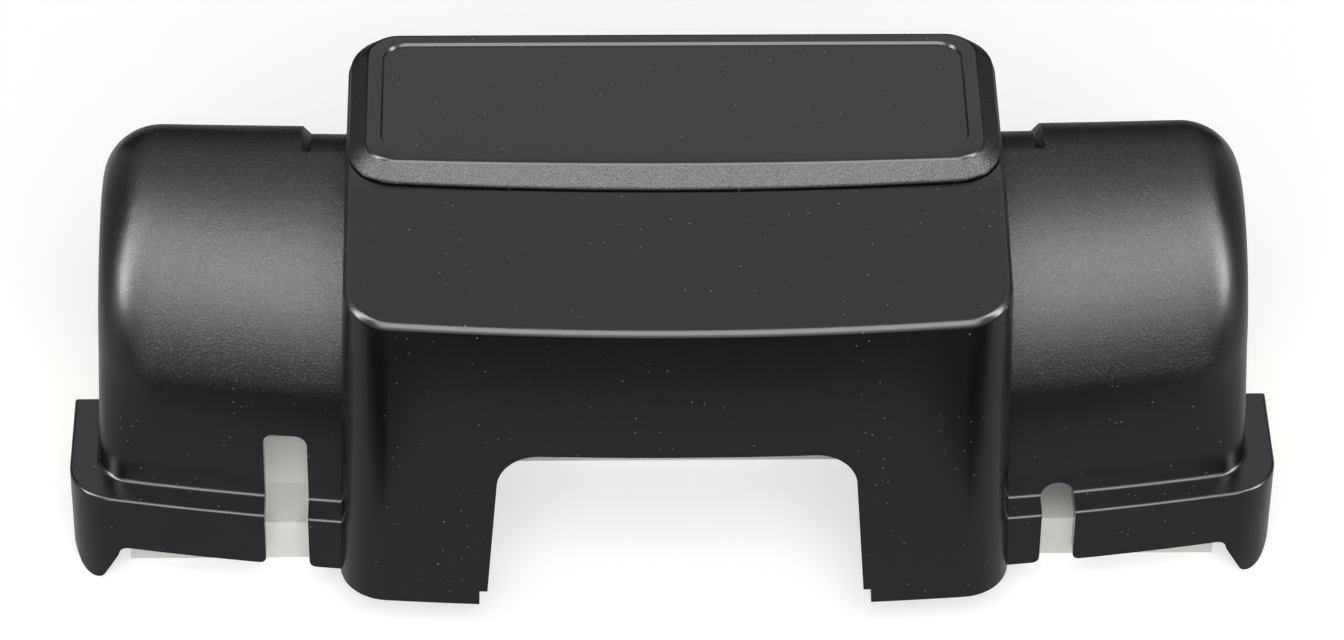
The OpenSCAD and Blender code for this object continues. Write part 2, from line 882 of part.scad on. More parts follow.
module circuit_board() {
    color(board_green)
        translate([0, 0, board_z])
            difference() {
                linear_extrude(board_t) {
                    translate([-board_half, at(board_main_front)])
                        round_rect(2 * board_half, bar_back - board_main_front, board_corner_r);
                    translate([-board_tongue_w / 2, at(board_front)])
                        round_rect(board_tongue_w, board_main_front - board_front + board_overlap,
                            board_corner_r);
                }
                both_sides()
                    at_standoffs()
                        translate([0, 0, -past])
                            cylinder(r = board_screw_r + washer_gap, h = board_t + 2 * past);
            }
}

// Puts a piece on the board, at x and at a depth behind the board's front edge
module on_board(x, d) {
    translate([x, at(board_front) + d, board_top_z]) children();
}

// Flat chip with a row of legs on two sides
module legged_chip(size_x, size_y, h, legs, leg_w) {
    pitch = size_x / legs;
    leg_t = 0.3;
    translate([-size_x / 2, -size_y / 2, 0]) cube([size_x, size_y, h]);
    for (k = [0:legs - 1], side = [-1, 1])
        translate([(k + 0.5) * pitch - size_x / 2, side * (size_y + leg_reach) / 2, 0])
            translate([-leg_w / 2, -leg_reach / 2, 0]) cube([leg_w, leg_reach, leg_t]);
}

module controller_chip() {
    h = 1.2;
    legs = 8;
    leg_w = 0.4;
    color(chip_black)
        on_board(controller_x, second_row_d + controller_reach)
            for (turn = [0, 90]) rotate(turn) legged_chip(controller_w, controller_w, h, legs, leg_w);
}

module amplifier_chip() {
    h = 1.5;
    legs = 4;
    leg_w = 0.5;
    color(chip_black)
        on_board(amplifier_x, second_row_d + amplifier_d / 2 + leg_reach)
            legged_chip(amplifier_w, amplifier_d, h, legs, leg_w);
}

// Small radio board, soldered flat on the main board
module radio_board() {
    color(board_green)
        on_board(radio_x, radio_at_d)
            translate([-radio_w / 2, -radio_d / 2, 0]) cube([radio_w, radio_d, radio_t]);
}

// Screening can on the radio board
module radio_shield() {
    shield_d = 11;
    shield_h = 1.8;
    shield_r = 0.6;
    border = 1;
    color(can_silver)
        on_board(radio_x, radio_at_d)
            translate([border - radio_w / 2, border - radio_d / 2, radio_t])
                linear_extrude(shield_h) round_rect(radio_w - 2 * border, shield_d, shield_r);
}

// Oval can on a flange, behind the inductor
module crystal() {
    straight = 6.2;
    r = 1.8;
    h = 3.4;
    flange = 0.4;
    flange_h = 0.5;
    d = second_row_d + inductor_w + 2 * row_gap + r + flange;
    module oval(grow, high) {
        linear_extrude(high) {
            translate([-straight / 2, -r - grow]) square([straight, 2 * (r + grow)]);
            for (end = [-1, 1]) translate([end * straight / 2, 0]) circle(r + grow);
        }
    }
    color(can_silver)
        on_board(inductor_x, d) {
            oval(flange, flange_h);
            oval(0, h);
        }
}

// Power inductor with a round window of its core on top
module inductor() {
    h = 3.2;
    corner = 1.6;
    core_r = 2.4;
    core_drop = 0.4;
    color(chip_black)
        on_board(inductor_x, second_row_d + inductor_w / 2)
            difference() {
                linear_extrude(h)
                    translate([-inductor_w / 2, -inductor_w / 2])
                        round_rect(inductor_w, inductor_w, corner);
                translate([0, 0, h - core_drop]) cylinder(r = core_r, h = past);
            }
}

// Electrolytic cans with a rolled groove, on square feet, one behind the other
module capacitors() {
    can_h = 7.2;
    foot_h = 0.8;
    groove_z = 1.9;
    groove = 0.3;
    crown = 0.4;
    color(can_silver)
        for (k = [0, 1])
            on_board(can_x, second_row_d + can_foot / 2 + k * (can_foot + part_gap)) {
                translate([-can_foot / 2, -can_foot / 2, 0]) cube([can_foot, can_foot, foot_h]);
                rotate_extrude()
                    polygon([[0, foot_h / 2], [can_r, foot_h / 2],
                        [can_r, groove_z - groove], [can_r - groove, groove_z], [can_r, groove_z + groove],
                        [can_r, can_h - crown], [can_r - crown, can_h], [0, can_h]]);
            }
}

// Rectifier diode with a solder lug at each end, behind the amplifier
module diode() {
    size_x = 4.4;
    size_y = 3.6;
    h = 2.2;
    lift = 0.2;
    lug = 0.4;
    lug_w = 2;
    lug_h = 0.4;
    color(chip_black)
        on_board(amplifier_x, second_row_d + amplifier_d + 2 * leg_reach + row_gap + size_y / 2) {
            translate([-size_x / 2, -size_y / 2, lift]) cube([size_x, size_y, h - lift]);
            translate([-size_x / 2 - lug, -lug_w / 2, 0]) cube([size_x + 2 * lug, lug_w, lug_h]);
        }
}

// Row of small resistors along the back edge
module chip_parts() {
    count = 10;
    size_x = 2;
    size_y = 1.25;
    h = 0.6;
    first_x = -field + radio_w + size_x;
    last_x = can_x - can_foot / 2 - size_x;
    d = board_d - 1 - size_y / 2;
    color(chip_black)
        for (k = [0:count - 1])
            on_board(first_x + (last_x - first_x) * k / (count - 1), d)
                translate([-size_x / 2, -size_y / 2, 0]) cube([size_x, size_y, h]);
}

// X of a pin from the middle of the socket
function pin_x(k) = (k - (pin_count - 1) / 2) * pin_pitch;

// Shrouded socket, open to the front, with a key slot in its roof
module data_socket() {
    key_w = socket_w / 2;
    key_d = 2;
    color(socket_white)
        on_board(socket_x, front_row_d)
            difference() {
                translate([-socket_w / 2, 0, 0]) cube([socket_w, socket_d, socket_h]);
                translate([-socket_w / 2 + socket_wall, -past, socket_wall])
                    cube([socket_w - 2 * socket_wall, socket_d - socket_back + past,
                        socket_h - 2 * socket_wall]);
                translate([-key_w / 2, -past, socket_h - socket_wall - bolt_gap])
                    cube([key_w, key_d + past, socket_wall + past]);
                for (k = [0:pin_count - 1])
                    translate([pin_x(k) - pin_w / 2 - blade_gap, 0, pin_z - blade_gap])
                        cube([pin_w + 2 * blade_gap, socket_d + past, pin_w + 2 * blade_gap]);
            }
}

// Bent pins of the socket, down to the board
module data_pins() {
    tail = 1.6;
    set_back = 1.4;
    color(brass)
        on_board(socket_x, front_row_d)
            for (k = [0:pin_count - 1])
                translate([pin_x(k) - pin_w / 2, 0, 0]) {
                    translate([0, set_back, pin_z]) cube([pin_w, socket_d + tail - set_back, pin_w]);
                    translate([0, socket_d + tail - pin_w, 0]) cube([pin_w, pin_w, pin_z + pin_w]);
                }
}

// Middle of a screw terminal
function terminal_x(k) =
    board_tongue_w / 2 - terminal_in - terminal_pole - k * (2 * terminal_pole + terminal_gap);

// Places of the poles of the screw terminals
module at_poles() {
    for (k = [0, 1], pole = [-0.5, 0.5])
        on_board(terminal_x(k) + pole * terminal_pole, front_row_d) children();
}

// Two-pole screw terminals with wire entries in front and screw wells on top
module wire_terminals() {
    entry = 3.2;
    entry_z = 1.4;
    entry_d = 5;
    color(terminal_green)
        difference() {
            for (k = [0, 1])
                on_board(terminal_x(k), front_row_d)
                    translate([terminal_pole, 0, 0])
                        rotate([90, 0, -90])
                            linear_extrude(2 * terminal_pole)
                                polygon([[0, 0], [-terminal_d, 0],
                                    [-terminal_d, terminal_h - terminal_bevel_h],
                                    [-terminal_d + terminal_bevel, terminal_h],
                                    [-terminal_bevel, terminal_h],
                                    [0, terminal_h - terminal_bevel_h]]);
            at_poles() {
                translate([-entry / 2, -past, entry_z]) cube([entry, past + entry_d, entry]);
                translate([0, terminal_d / 2, clamp_z]) cylinder(r = clamp_r + washer_gap, h = terminal_h);
            }
        }
}

// Slotted screws in the terminals' wells
module clamp_screws() {
    h = 2.6;
    slot_depth = 0.9;
    color(steel)
        at_poles()
            translate([0, terminal_d / 2, clamp_z])
                difference() {
                    cylinder(r = clamp_r, h = h);
                    translate([-clamp_r, -driver_slot_w / 2, h - slot_depth])
                        cube([2 * clamp_r, driver_slot_w, past]);
                }
}

// Status light with a round lens
module status_led() {
    from_edge = 3;
    size_x = 3.2;
    size_y = 1.6;
    body_h = 0.6;
    lens_r = 0.75;
    lens_h = 1.2;
    color("white")
        on_board(from_edge - board_tongue_w / 2, front_row_d + size_y) {
            translate([-size_x / 2, -size_y / 2, 0]) cube([size_x, size_y, body_h]);
            cylinder(r = lens_r, h = lens_h);
        }
}

cover();
base();
battery_block();
load_block();
resistor_blades();
terminal_bolts();
spring_washers();
flat_washers();
block_screws();
board_standoffs();
board_screws();
circuit_board();
controller_chip();
amplifier_chip();
radio_board();
radio_shield();
crystal();
inductor();
capacitors();
diode();
chip_parts();
data_socket();
data_pins();
wire_terminals();
clamp_screws();
status_led();
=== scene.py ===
"""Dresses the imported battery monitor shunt: its moulded cover, its finishes and a plain studio."""
import json
import math
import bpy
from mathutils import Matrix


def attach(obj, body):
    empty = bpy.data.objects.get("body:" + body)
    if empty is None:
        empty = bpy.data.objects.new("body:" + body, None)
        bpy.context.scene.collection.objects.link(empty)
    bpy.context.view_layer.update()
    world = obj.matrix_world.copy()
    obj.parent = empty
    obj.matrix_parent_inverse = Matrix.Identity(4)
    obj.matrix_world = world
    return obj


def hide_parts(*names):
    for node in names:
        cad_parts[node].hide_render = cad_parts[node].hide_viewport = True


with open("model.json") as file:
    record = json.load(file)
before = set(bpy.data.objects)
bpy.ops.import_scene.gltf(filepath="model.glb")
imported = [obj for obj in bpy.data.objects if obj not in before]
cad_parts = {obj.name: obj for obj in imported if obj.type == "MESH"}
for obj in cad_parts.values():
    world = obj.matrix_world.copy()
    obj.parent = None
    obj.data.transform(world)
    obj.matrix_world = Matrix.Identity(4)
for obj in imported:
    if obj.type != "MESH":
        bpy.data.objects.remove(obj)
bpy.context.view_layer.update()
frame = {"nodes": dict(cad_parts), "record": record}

from types import SimpleNamespace

import bmesh
import bpy
from bpy.props import FloatProperty, FloatVectorProperty, PointerProperty
from mathutils import Matrix, Vector

bl_info = {
    "name": "Shunt cover dresser",
    "version": (1, 0, 0),
    "blender": (4, 5, 0),
    "location": "3D View > Sidebar > Shunt",
    "description": "Builds a battery monitor shunt's moulded cover and finishes all its pieces",
    "category": "Add Mesh",
}

MM = 0.001
FINISH_TAIL = "_finish"

# Fineness of the cover's mesh
BOW_STEPS = 24
CORNER_STEPS = 14
EDGE_STEPS = 5
BEVEL_STEPS = 3
FILLET_STEPS = 4
TIP_STEPS = 48
ARCH_STEPS = 64
END_STEPS = 20
SPAN_STEPS = 6
WALL_STEPS = 10
SHARP_ANGLE = math.radians(32)

# Spare lengths in millimetres: past a cut, under the raised top, and the least inner corner
PAST = 1.0
TUCK = 0.05
LEAST_R = 1.0

# Tolerances of the mesh, in millimetres, radians, shares or digits
ON_PLANE = 1e-5
ON_LEDGE = 1e-3
UNDER_ROUNDING = 0.01
LEVEL_DIGITS = 3
SAME_POINT = 2e-4
NO_LENGTH = 1e-4
FLAT_ANGLE = 1e-4
HOLLOW_ANGLE = -0.5
PARALLEL = 0.99
FULL_ROUND = 0.499

# Width of the camera's frame in millimetres, the focal length over it, and its range in metres
SENSOR_W = 36.0
FOCAL_SHARE = 6000.0 / 1344.0
NEAR_AND_FAR = (0.05, 50.0)


# Sizes and colours that a user would change

def length(name, description, millimetres):
    """A length in the sidebar, given in millimetres."""
    return FloatProperty(name=name, description=description, default=millimetres * MM,
                         unit="LENGTH", precision=5)


def angle(name, description, degrees):
    """An angle in the sidebar, given in degrees."""
    return FloatProperty(name=name, description=description, default=math.radians(degrees),
                         unit="ROTATION")


def number(name, description, value):
    """A plain number in the sidebar."""
    return FloatProperty(name=name, description=description, default=value)


def tint(name, description, colour):
    """A colour in the sidebar."""
    return FloatVectorProperty(name=name, description=description, default=colour,
                               subtype="COLOR", size=3, min=0.0, max=1.0)


class CoverSizes(bpy.types.PropertyGroup):
    """Sizes of the moulded cover. Depths count from the front of the centre block."""

    cover_w: length("Width", "Width over the end skirts", 125.0)
    cover_d: length("Depth", "Depth from the block's front to the back skirt", 48.0)
    middle_d: length("Middle", "Depth that lies at Y = 0", 24.11)
    wall: length("Wall", "Thickness of the walls", 2.0)
    rim_z: length("Rim height", "Height of the rim above the mounting surface", 5.0)
    skirt_h: length("Skirt height", "Height of the skirt", 6.6)
    ledge_w: length("Ledge", "Width of the ledge between skirt and hoods", 3.0)
    skirt_corner_r: length("Skirt corners", "Radius of the skirt's corners", 5.5)
    wing_bow_r: length("Wing bow", "Radius of the bow of the wings' front", 310.0)
    ledge_edge: length("Ledge edge", "Rounding of the skirt's upper edge", 0.35)
    ledge_fillet: length("Ledge fillet", "Fillet between ledge and hood", 0.35)
    foot_w: length("Foot width", "Width of a hooked foot at the rim", 5.0)
    foot_tip_r: length("Foot tip", "Radius of a foot's tip", 1.5)
    foot_tip_x: length("Foot tip place", "Distance of a foot's tip from the end", 2.0)
    foot_root_r: length("Foot root", "Radius of the hollow at a foot's root", 1.0)
    hood_wall_h: length("Hood wall", "Height of a hood's upright wall", 12.8)
    hood_rise: length("Hood rise", "Rise of a hood's round top", 17.25)
    hood_end_r: length("Hood end", "Rounding of a hood's end along its top", 5.6)
    hood_end_run: length("Hood end run", "Length of that rounding along the hood", 6.0)
    hood_foot_r: length("Hood foot", "Rounding of a hood's end at its foot", 3.0)
    side_draft: angle("Draft", "Draft of the side walls", 1.9)
    recess_w: length("Recess width", "Width of the recess beside the block", 3.8)
    recess_depth: length("Recess depth", "Depth of that recess", 0.8)
    recess_slope: length("Recess slope", "Width of the slope of its outer side", 0.9)
    recess_start: length("Recess start", "Distance of the recess behind the crest", 2.4)
    block_w: length("Block width", "Width of the centre block at the rim", 69.2)
    block_lead: length("Block lead", "How far the block stands before the skirt", 4.15)
    block_bow_r: length("Block bow", "Radius of the bow of the block's front", 350.0)
    block_corner_r: length("Block corners", "Radius of the block's front corners", 5.2)
    block_back_r: length("Block back corners", "Radius of the block's back corners", 5.0)
    block_wall_h: length("Block wall", "Height of the block's front wall", 36.85)
    block_front_lean: length("Front lean", "Lean of the block's front wall", 0.4)
    ridge_edge: length("Ridge", "Rounding of the ridge", 0.8)
    shoulder_rise: length("Shoulder rise", "Rise of the shoulder", 2.9)
    shoulder_d: length("Shoulder depth", "Depth at which the raised top begins", 19.0)
    plateau_step: length("Top step", "Set-back of the raised top from the sides", 0.15)
    plateau_foot: length("Top foot", "Upright foot of the raised top", 0.3)
    plateau_bevel: length("Bevel width", "Width of the bevel round the raised top", 2.0)
    plateau_bevel_h: length("Bevel height", "Height of that bevel", 1.85)
    top_bow_r: length("Top bow", "Radius of the bow of the top face's front", 650.0)
    plateau_corner_r: length("Top corners", "Radius of the raised top's corners", 5.0)
    plateau_back_gap: length("Back gap", "Gap behind the raised top", 1.3)
    bevel_edge: length("Bevel edges", "Rounding of the bevel's edges", 0.25)
    reveal_w: length("Reveal width", "Width of the fine groove before the raised top", 0.3)
    reveal_depth: length("Reveal depth", "Depth of that groove", 0.25)
    panel_inset: length("Panel inset", "Inset of the sunk panel", 1.3)
    panel_depth: length("Panel depth", "Depth of the sunk panel", 0.25)
    panel_r: length("Panel corners", "Radius of the sunk panel's corners", 2.7)
    panel_slope: length("Panel slope", "Width of the slope into the panel", 0.2)
    notch_w: length("Notch width", "Width of the cable notch at its top", 35.8)
    notch_flare: length("Notch flare", "Widening of the notch on each side", 1.5)
    notch_h: length("Notch height", "Height of the notch above the rim", 20.45)
    notch_r: length("Notch corners", "Radius of the notch's upper corners", 4.0)
    notch_step_w: length("Notch step", "Width of the step at the notch's foot", 0.7)
    notch_step_h: length("Step height", "Height of that step", 1.8)
    tall_slot_x: length("Tall slot place", "Distance of the tall slot from the middle", 39.9)
    tall_slot_w: length("Tall slot width", "Width of the tall wire slot", 4.5)
    tall_slot_h: length("Tall slot height", "Height of the tall wire slot", 14.9)
    tall_slot_r: length("Tall slot corners", "Radius of its upper corners", 1.2)
    short_slot_x: length("Short slot place", "Distance of the short slot from the middle", 39.5)
    short_slot_w: length("Short slot width", "Width of the short wire slot", 3.5)
    short_slot_h: length("Short slot height", "Height of the short wire slot", 8.1)
    slot_splay: length("Slot splay", "Splay of the slots at the rim", 0.7)
    end_opening_d: length("End opening", "Depth at which the end openings begin", 25.2)
    end_opening_w: length("End opening width", "Width of the end openings", 17.0)
    end_opening_h: length("End opening height", "Height of the end openings", 26.5)
    end_opening_r: length("End opening corners", "Radius of their upper corners", 6.0)


class FinishColours(bpy.types.PropertyGroup):
    """Colours of the finishes."""

    cover_black: tint("Cover", "Black moulding of the cover", (0.0025, 0.0025, 0.0027))
    # Painted highlight: a lighter base colour on the grain's peaks, which stands in for the light
    # that they catch
    painted_glint: tint("Glint", "Light caught on the peaks of the cover's grain", (0.034, 0.035, 0.038))
    dust: tint("Dust", "Specks of dust on the cover", (0.13, 0.125, 0.115))
    base_white: tint("Base", "White moulding of the base", (0.80, 0.79, 0.75))
    brass: tint("Brass", "Milled brass of the terminal blocks", (0.74, 0.56, 0.27))
    manganin: tint("Blades", "Brown resistance alloy", (0.52, 0.36, 0.27))
    steel: tint("Steel", "Bright zinc plate", (0.66, 0.67, 0.69))
    spring_steel: tint("Spring steel", "Dark plated spring steel", (0.36, 0.37, 0.39))
    board_green: tint("Board", "Green solder resist", (0.018, 0.135, 0.055))
    chip_black: tint("Chips", "Black moulding compound", (0.014, 0.014, 0.016))
    can_silver: tint("Cans", "Drawn cans", (0.70, 0.71, 0.73))
    ferrite: tint("Ferrite", "Dark pressed ferrite", (0.035, 0.035, 0.037))
    socket_cream: tint("Socket", "Off-white nylon", (0.78, 0.73, 0.60))
    tinned_pin: tint("Pins", "Tinned wire", (0.76, 0.72, 0.60))
    terminal_green: tint("Terminals", "Green nylon", (0.030, 0.26, 0.075))
    led_lens: tint("Lens", "Clear lens on a white body", (0.82, 0.83, 0.84))


class StageSettings(bpy.types.PropertyGroup):
    """The studio and its camera, fitted to the photograph."""

    focal: number("Lens", "Focal length in millimetres on a 36 mm frame", FOCAL_SHARE * SENSOR_W)
    elevation: angle("Elevation", "Height of the camera over the horizon", 40.858)
    azimuth: angle("Azimuth", "Turn of the camera round the object", -1.661)
    roll: angle("Roll", "Roll of the camera", -0.815)
    distance: length("Distance", "Distance of the camera", 621.61)
    aside: length("Aside", "Shift of the camera to its right", 0.087)
    below: length("Below", "Shift of the camera downwards", -0.284)
    aim_z: length("Aim", "Height at which the camera looks", 23.5)
    front_glow: number("Front glow", "Brightness of the front softbox", 8.4)
    low_glow: number("Low glow", "Brightness of the low front softbox", 2.6)
    side_glow: number("Side glow", "Brightness of the side softboxes", 21.0)
    fill_light: number("Fill light", "Power in watts of the light on the camera's side", 19.5)
    ambient: number("Ambient", "Strength of the surrounding light", 0.2)


def cover_sizes(context):
    """The cover's sizes in millimetres, with what follows from them."""
    sizes = context.scene.shunt_cover
    s = SimpleNamespace(**{name: getattr(sizes, name) / MM for name in CoverSizes.__annotations__})
    s.draft = math.tan(sizes.side_draft)
    s.ledge_z = s.rim_z + s.skirt_h
    s.spring_z = s.ledge_z + s.hood_wall_h
    s.ridge_z = s.rim_z + s.block_wall_h
    s.shoulder_z = s.ridge_z + s.shoulder_rise
    s.top_z = s.shoulder_z + s.plateau_foot + s.plateau_bevel_h
    s.half_w = s.cover_w / 2
    s.hood_end = s.half_w - s.ledge_w
    s.hood_front = s.block_lead + s.ledge_w
    s.hood_back = s.cover_d - s.ledge_w
    s.block_half = s.block_w / 2
    s.block_top_half = s.block_half - s.draft * s.block_wall_h
    s.plateau_half = s.block_top_half - s.draft * s.shoulder_rise - s.plateau_step
    s.plateau_back = s.hood_back - s.plateau_back_gap
    s.hood_root_x = s.block_top_half - s.wall - PAST
    s.recess_side = s.block_top_half + s.recess_w + s.draft * (s.hood_wall_h + s.hood_rise)
    s.slope = s.shoulder_rise / (s.shoulder_d - s.block_front_lean)
    s.at = lambda depth: depth - s.middle_d
    return s


# Shapes, in millimetres until a piece is finished

def bow(x, radius):
    """Set-back of a bowed front at a distance x from the middle."""
    return radius - math.sqrt(radius * radius - x * x)


def drawn_in(x, end, run, radius):
    """How far a rounded end has drawn in at x; its rounding begins a run before the end."""
    part = min(1.0, max(0.0, (x - end + run) / run))
    return radius * (1.0 - math.sqrt(1.0 - part * part))


def carry_round(bm, vert, centre, turn, steps, axis=(0, 0, 1)):
    """Spins a point round a centre and returns the last point of the arc."""
    made = bmesh.ops.spin(bm, geom=[vert], cent=centre, axis=axis, dvec=(0, 0, 0), angle=turn,
                          steps=steps, use_merge=False, use_duplicate=False)
    return [v for v in made["geom_last"] if isinstance(v, bmesh.types.BMVert)][0]


def carry_on(bm, vert, place):
    """Extrudes a point to a place and returns the new point."""
    new = bmesh.ops.extrude_vert_indiv(bm, verts=[vert])["verts"][0]
    new.co = place
    return new


def bowed_loop(bm, z, half, front, back, bow_r, corner, back_corner):
    """A level loop with a bowed front and rounded corners; returns its edges."""
    before = set(bm.edges)
    centre = Vector((0, front + bow_r, z))
    tangent = math.asin((half - corner) / (bow_r - corner))
    reach = Vector((math.sin(tangent), -math.cos(tangent), 0))
    pivot = centre + (bow_r - corner) * reach
    turn = math.pi / 2 - tangent
    start = bm.verts.new(centre + bow_r * Vector((-reach.x, reach.y, 0)))
    end = carry_round(bm, start, centre, 2 * tangent, BOW_STEPS)
    end = carry_round(bm, end, pivot, turn, CORNER_STEPS)
    in_x, in_y = half - back_corner, back - back_corner
    corners = (((half, in_y), (in_x, in_y), math.pi / 2),
               ((-in_x, back), (-in_x, in_y), math.pi / 2),
               ((-half, pivot.y), (-pivot.x, pivot.y), turn))
    for place, about, bend in corners:
        end = carry_on(bm, end, (*place, z))
        end = carry_round(bm, end, (*about, z), bend, CORNER_STEPS)
    bmesh.ops.weld_verts(bm, targetmap={end: start})
    return [e for e in bm.edges if e not in before]


def skin_over(bm, loops):
    """Bridges a row of loops and closes its two ends."""
    for low, high in zip(loops, loops[1:]):
        bmesh.ops.bridge_loops(bm, edges=low + high)
    for loop in (loops[0], loops[-1]):
        bmesh.ops.contextual_create(bm, geom=loop)
    bmesh.ops.recalc_face_normals(bm, faces=bm.faces[:])


def stacked(levels):
    """A solid over level loops, from the lowest up."""
    bm = bmesh.new()
    skin_over(bm, [bowed_loop(bm, **level) for level in levels])
    return bm


def round_edges(bm, edges, radius, segments, clamp=True):
    """Rounds edges with a bevel."""
    bmesh.ops.bevel(bm, geom=edges, offset=radius, offset_type="OFFSET", affect="EDGES",
                    segments=segments, profile=0.5, material=-1, clamp_overlap=clamp)


def everything(bm):
    """All of a mesh, as the cutting operators ask for it."""
    return bm.verts[:] + bm.edges[:] + bm.faces[:]


def cut_across(bm, place, normal):
    """Draws a line round a mesh in a plane."""
    bmesh.ops.bisect_plane(bm, geom=everything(bm), dist=ON_PLANE, plane_co=place, plane_no=normal)


def upper_edges(bm, axis, height):
    """Edges that run along an axis above a height."""
    found = []
    for edge in bm.edges:
        first, last = (v.co for v in edge.verts)
        run = last - first
        if abs(run[axis]) > PARALLEL * run.length and (first.z + last.z) / 2 > height:
            found.append(edge)
    return found


def box_solid(low, high):
    """A rectangular solid between two corners."""
    bm = bmesh.new()
    size = [b - a for a, b in zip(low, high)]
    middle = [(a + b) / 2 for a, b in zip(low, high)]
    spread = Matrix.Translation(middle) @ Matrix.Diagonal((*size, 1))
    bmesh.ops.create_cube(bm, size=1.0, matrix=spread)
    return bm


def both_sides(bm):
    """Adds the mirror image on the other side of the middle."""
    bmesh.ops.mirror(bm, geom=everything(bm), axis="X", merge_dist=0.0)
    bmesh.ops.recalc_face_normals(bm, faces=bm.faces[:])
    return bm


def as_object(name, bm):
    """Puts a mesh into the scene."""
    mesh = bpy.data.meshes.new(name)
    bm.to_mesh(mesh)
    bm.free()
    obj = bpy.data.objects.new(name, mesh)
    bpy.context.scene.collection.objects.link(obj)
    return obj


def combine(obj, bm, operation):
    """Joins or cuts an object with another solid, which is used up."""
    tool = as_object("tool", bm)
    modifier = obj.modifiers.new("combine", "BOOLEAN")
    modifier.operation = operation
    modifier.solver = "EXACT"
    modifier.object = tool
    bpy.context.view_layer.update()
    made = bpy.data.meshes.new_from_object(obj.evaluated_get(bpy.context.evaluated_depsgraph_get()))
    obj.modifiers.clear()
    used = (obj.data, tool.data)
    obj.data = made
    bpy.data.objects.remove(tool)
    for mesh in used:
        bpy.data.meshes.remove(mesh)
    if not made.polygons:
        raise RuntimeError(f"{obj.name} came out empty")


def reopened(obj):
    """An object's mesh, open for more shaping."""
    bm = bmesh.new()
    bm.from_mesh(obj.data)
    return bm


def taken_out(obj):
    """An object's mesh, without the object."""
    bm = reopened(obj)
    bpy.data.objects.remove(obj)
    return bm


# The cover

def skirt_level(s, z, inset):
    """Outline of the skirt at a height."""
    corner = s.skirt_corner_r - inset
    return dict(z=z, half=s.half_w - inset, front=s.at(s.block_lead + inset),
                back=s.at(s.cover_d - inset), bow_r=s.wing_bow_r, corner=corner, back_corner=corner)


def rounding(radius):
    """Set-backs and drops of a quarter round, from the side to the top."""
    turns = [math.pi / 2 * k / EDGE_STEPS for k in range(EDGE_STEPS + 1)]
    return [(radius * (1 - math.cos(t)), radius * (1 - math.sin(t))) for t in turns]


def skirt_solid(s):
    """Skirt with a rounded upper edge, drawn down to the feet's tips."""
    levels = [skirt_level(s, 0.0, 0.0)]
    levels += [skirt_level(s, s.ledge_z - drop, draw) for draw, drop in rounding(s.ledge_edge)]
    return stacked(levels)


def hood_ring(bm, s, x, inset, low):
    """Cross-section of a hood at x; returns its edges."""
    known_verts, known_edges = set(bm.verts), set(bm.edges)
    end = s.hood_end - inset
    foot_r = max(s.hood_foot_r - inset, LEAST_R)
    top_in = drawn_in(x, end, s.hood_end_run - inset, s.hood_end_r - inset)
    foot_in = drawn_in(x, end, foot_r, foot_r)
    front = s.at(s.hood_front + bow(x, s.wing_bow_r)) + inset
    back = s.at(s.hood_back) - inset
    tilt = s.draft * (s.spring_z - s.ledge_z)
    middle = Vector((x, (front + back) / 2, s.spring_z))
    first = bm.verts.new(middle + Vector((0, -1, 0)))
    last = carry_round(bm, first, middle, -math.pi, ARCH_STEPS, axis=(1, 0, 0))
    reach = (1, (back - front) / 2 - tilt - top_in, s.hood_rise - inset - top_in)
    to_middle = Matrix.Translation(middle)
    spread = to_middle @ Matrix.Diagonal((*reach, 1)) @ to_middle.inverted()
    arch = [v for v in bm.verts if v not in known_verts]
    bmesh.ops.transform(bm, matrix=spread, verts=arch)
    feet = []
    for top, foot_y in ((first, front + foot_in), (last, back - foot_in)):
        foot, end_place = Vector((x, foot_y, low)), top.co.copy()
        for k in range(WALL_STEPS):
            top = carry_on(bm, top, end_place.lerp(foot, (k + 1) / WALL_STEPS))
        feet.append(top)
    bmesh.ops.contextual_create(bm, geom=feet)
    for vert in bm.verts:
        if vert not in known_verts:
            vert.co.x -= s.draft * (vert.co.z - s.ledge_z)
    return [e for e in bm.edges if e not in known_edges]


def hoods_solid(s, inset, low):
    """Both hoods, drawn in by an inset."""
    bm = bmesh.new()
    run = s.hood_end_run - inset
    root, straight = s.hood_root_x, s.hood_end - inset - run
    places = [root + (straight - root) * k / SPAN_STEPS for k in range(SPAN_STEPS)]
    places += [straight + run * math.sin(math.pi / 2 * k / END_STEPS) for k in range(END_STEPS + 1)]
    skin_over(bm, [hood_ring(bm, s, x, inset, low) for x in places])
    return both_sides(bm)


def block_level(s, z, half, front, back, inset):
    """Outline of the centre block at a height."""
    return dict(z=z, half=half - inset, front=s.at(front + inset), back=s.at(back - inset),
                bow_r=s.block_bow_r, corner=max(s.block_corner_r - inset, LEAST_R),
                back_corner=max(s.block_back_r - inset, LEAST_R))


def block_solid(s, inset, low):
    """Centre block: a level top, of which the front part is then sloped down to the ridge."""
    top = s.shoulder_z - inset
    back = s.hood_back - s.draft * s.block_wall_h
    levels = [block_level(s, low, s.block_half, 0.0, s.hood_back, inset)]
    levels += [block_level(s, top - drop, s.block_top_half, s.block_front_lean, back, inset + draw)
               for draw, drop in rounding(s.ridge_edge)]
    bm = stacked(levels)
    fold = s.at(s.shoulder_d)
    cut_across(bm, (0, fold, 0), (0, 1, 0))
    for vert in bm.verts:
        if vert.co.z > top - s.ridge_edge - UNDER_ROUNDING and vert.co.y < fold:
            vert.co.z -= s.slope * (fold - vert.co.y)
    return bm


def plateau_level(s, z, inset, bow_r, corner):
    """Outline of the raised top at a height."""
    return dict(z=z, half=s.plateau_half - inset, front=s.at(s.shoulder_d + inset),
                back=s.at(s.plateau_back - inset), bow_r=bow_r, corner=corner, back_corner=corner)


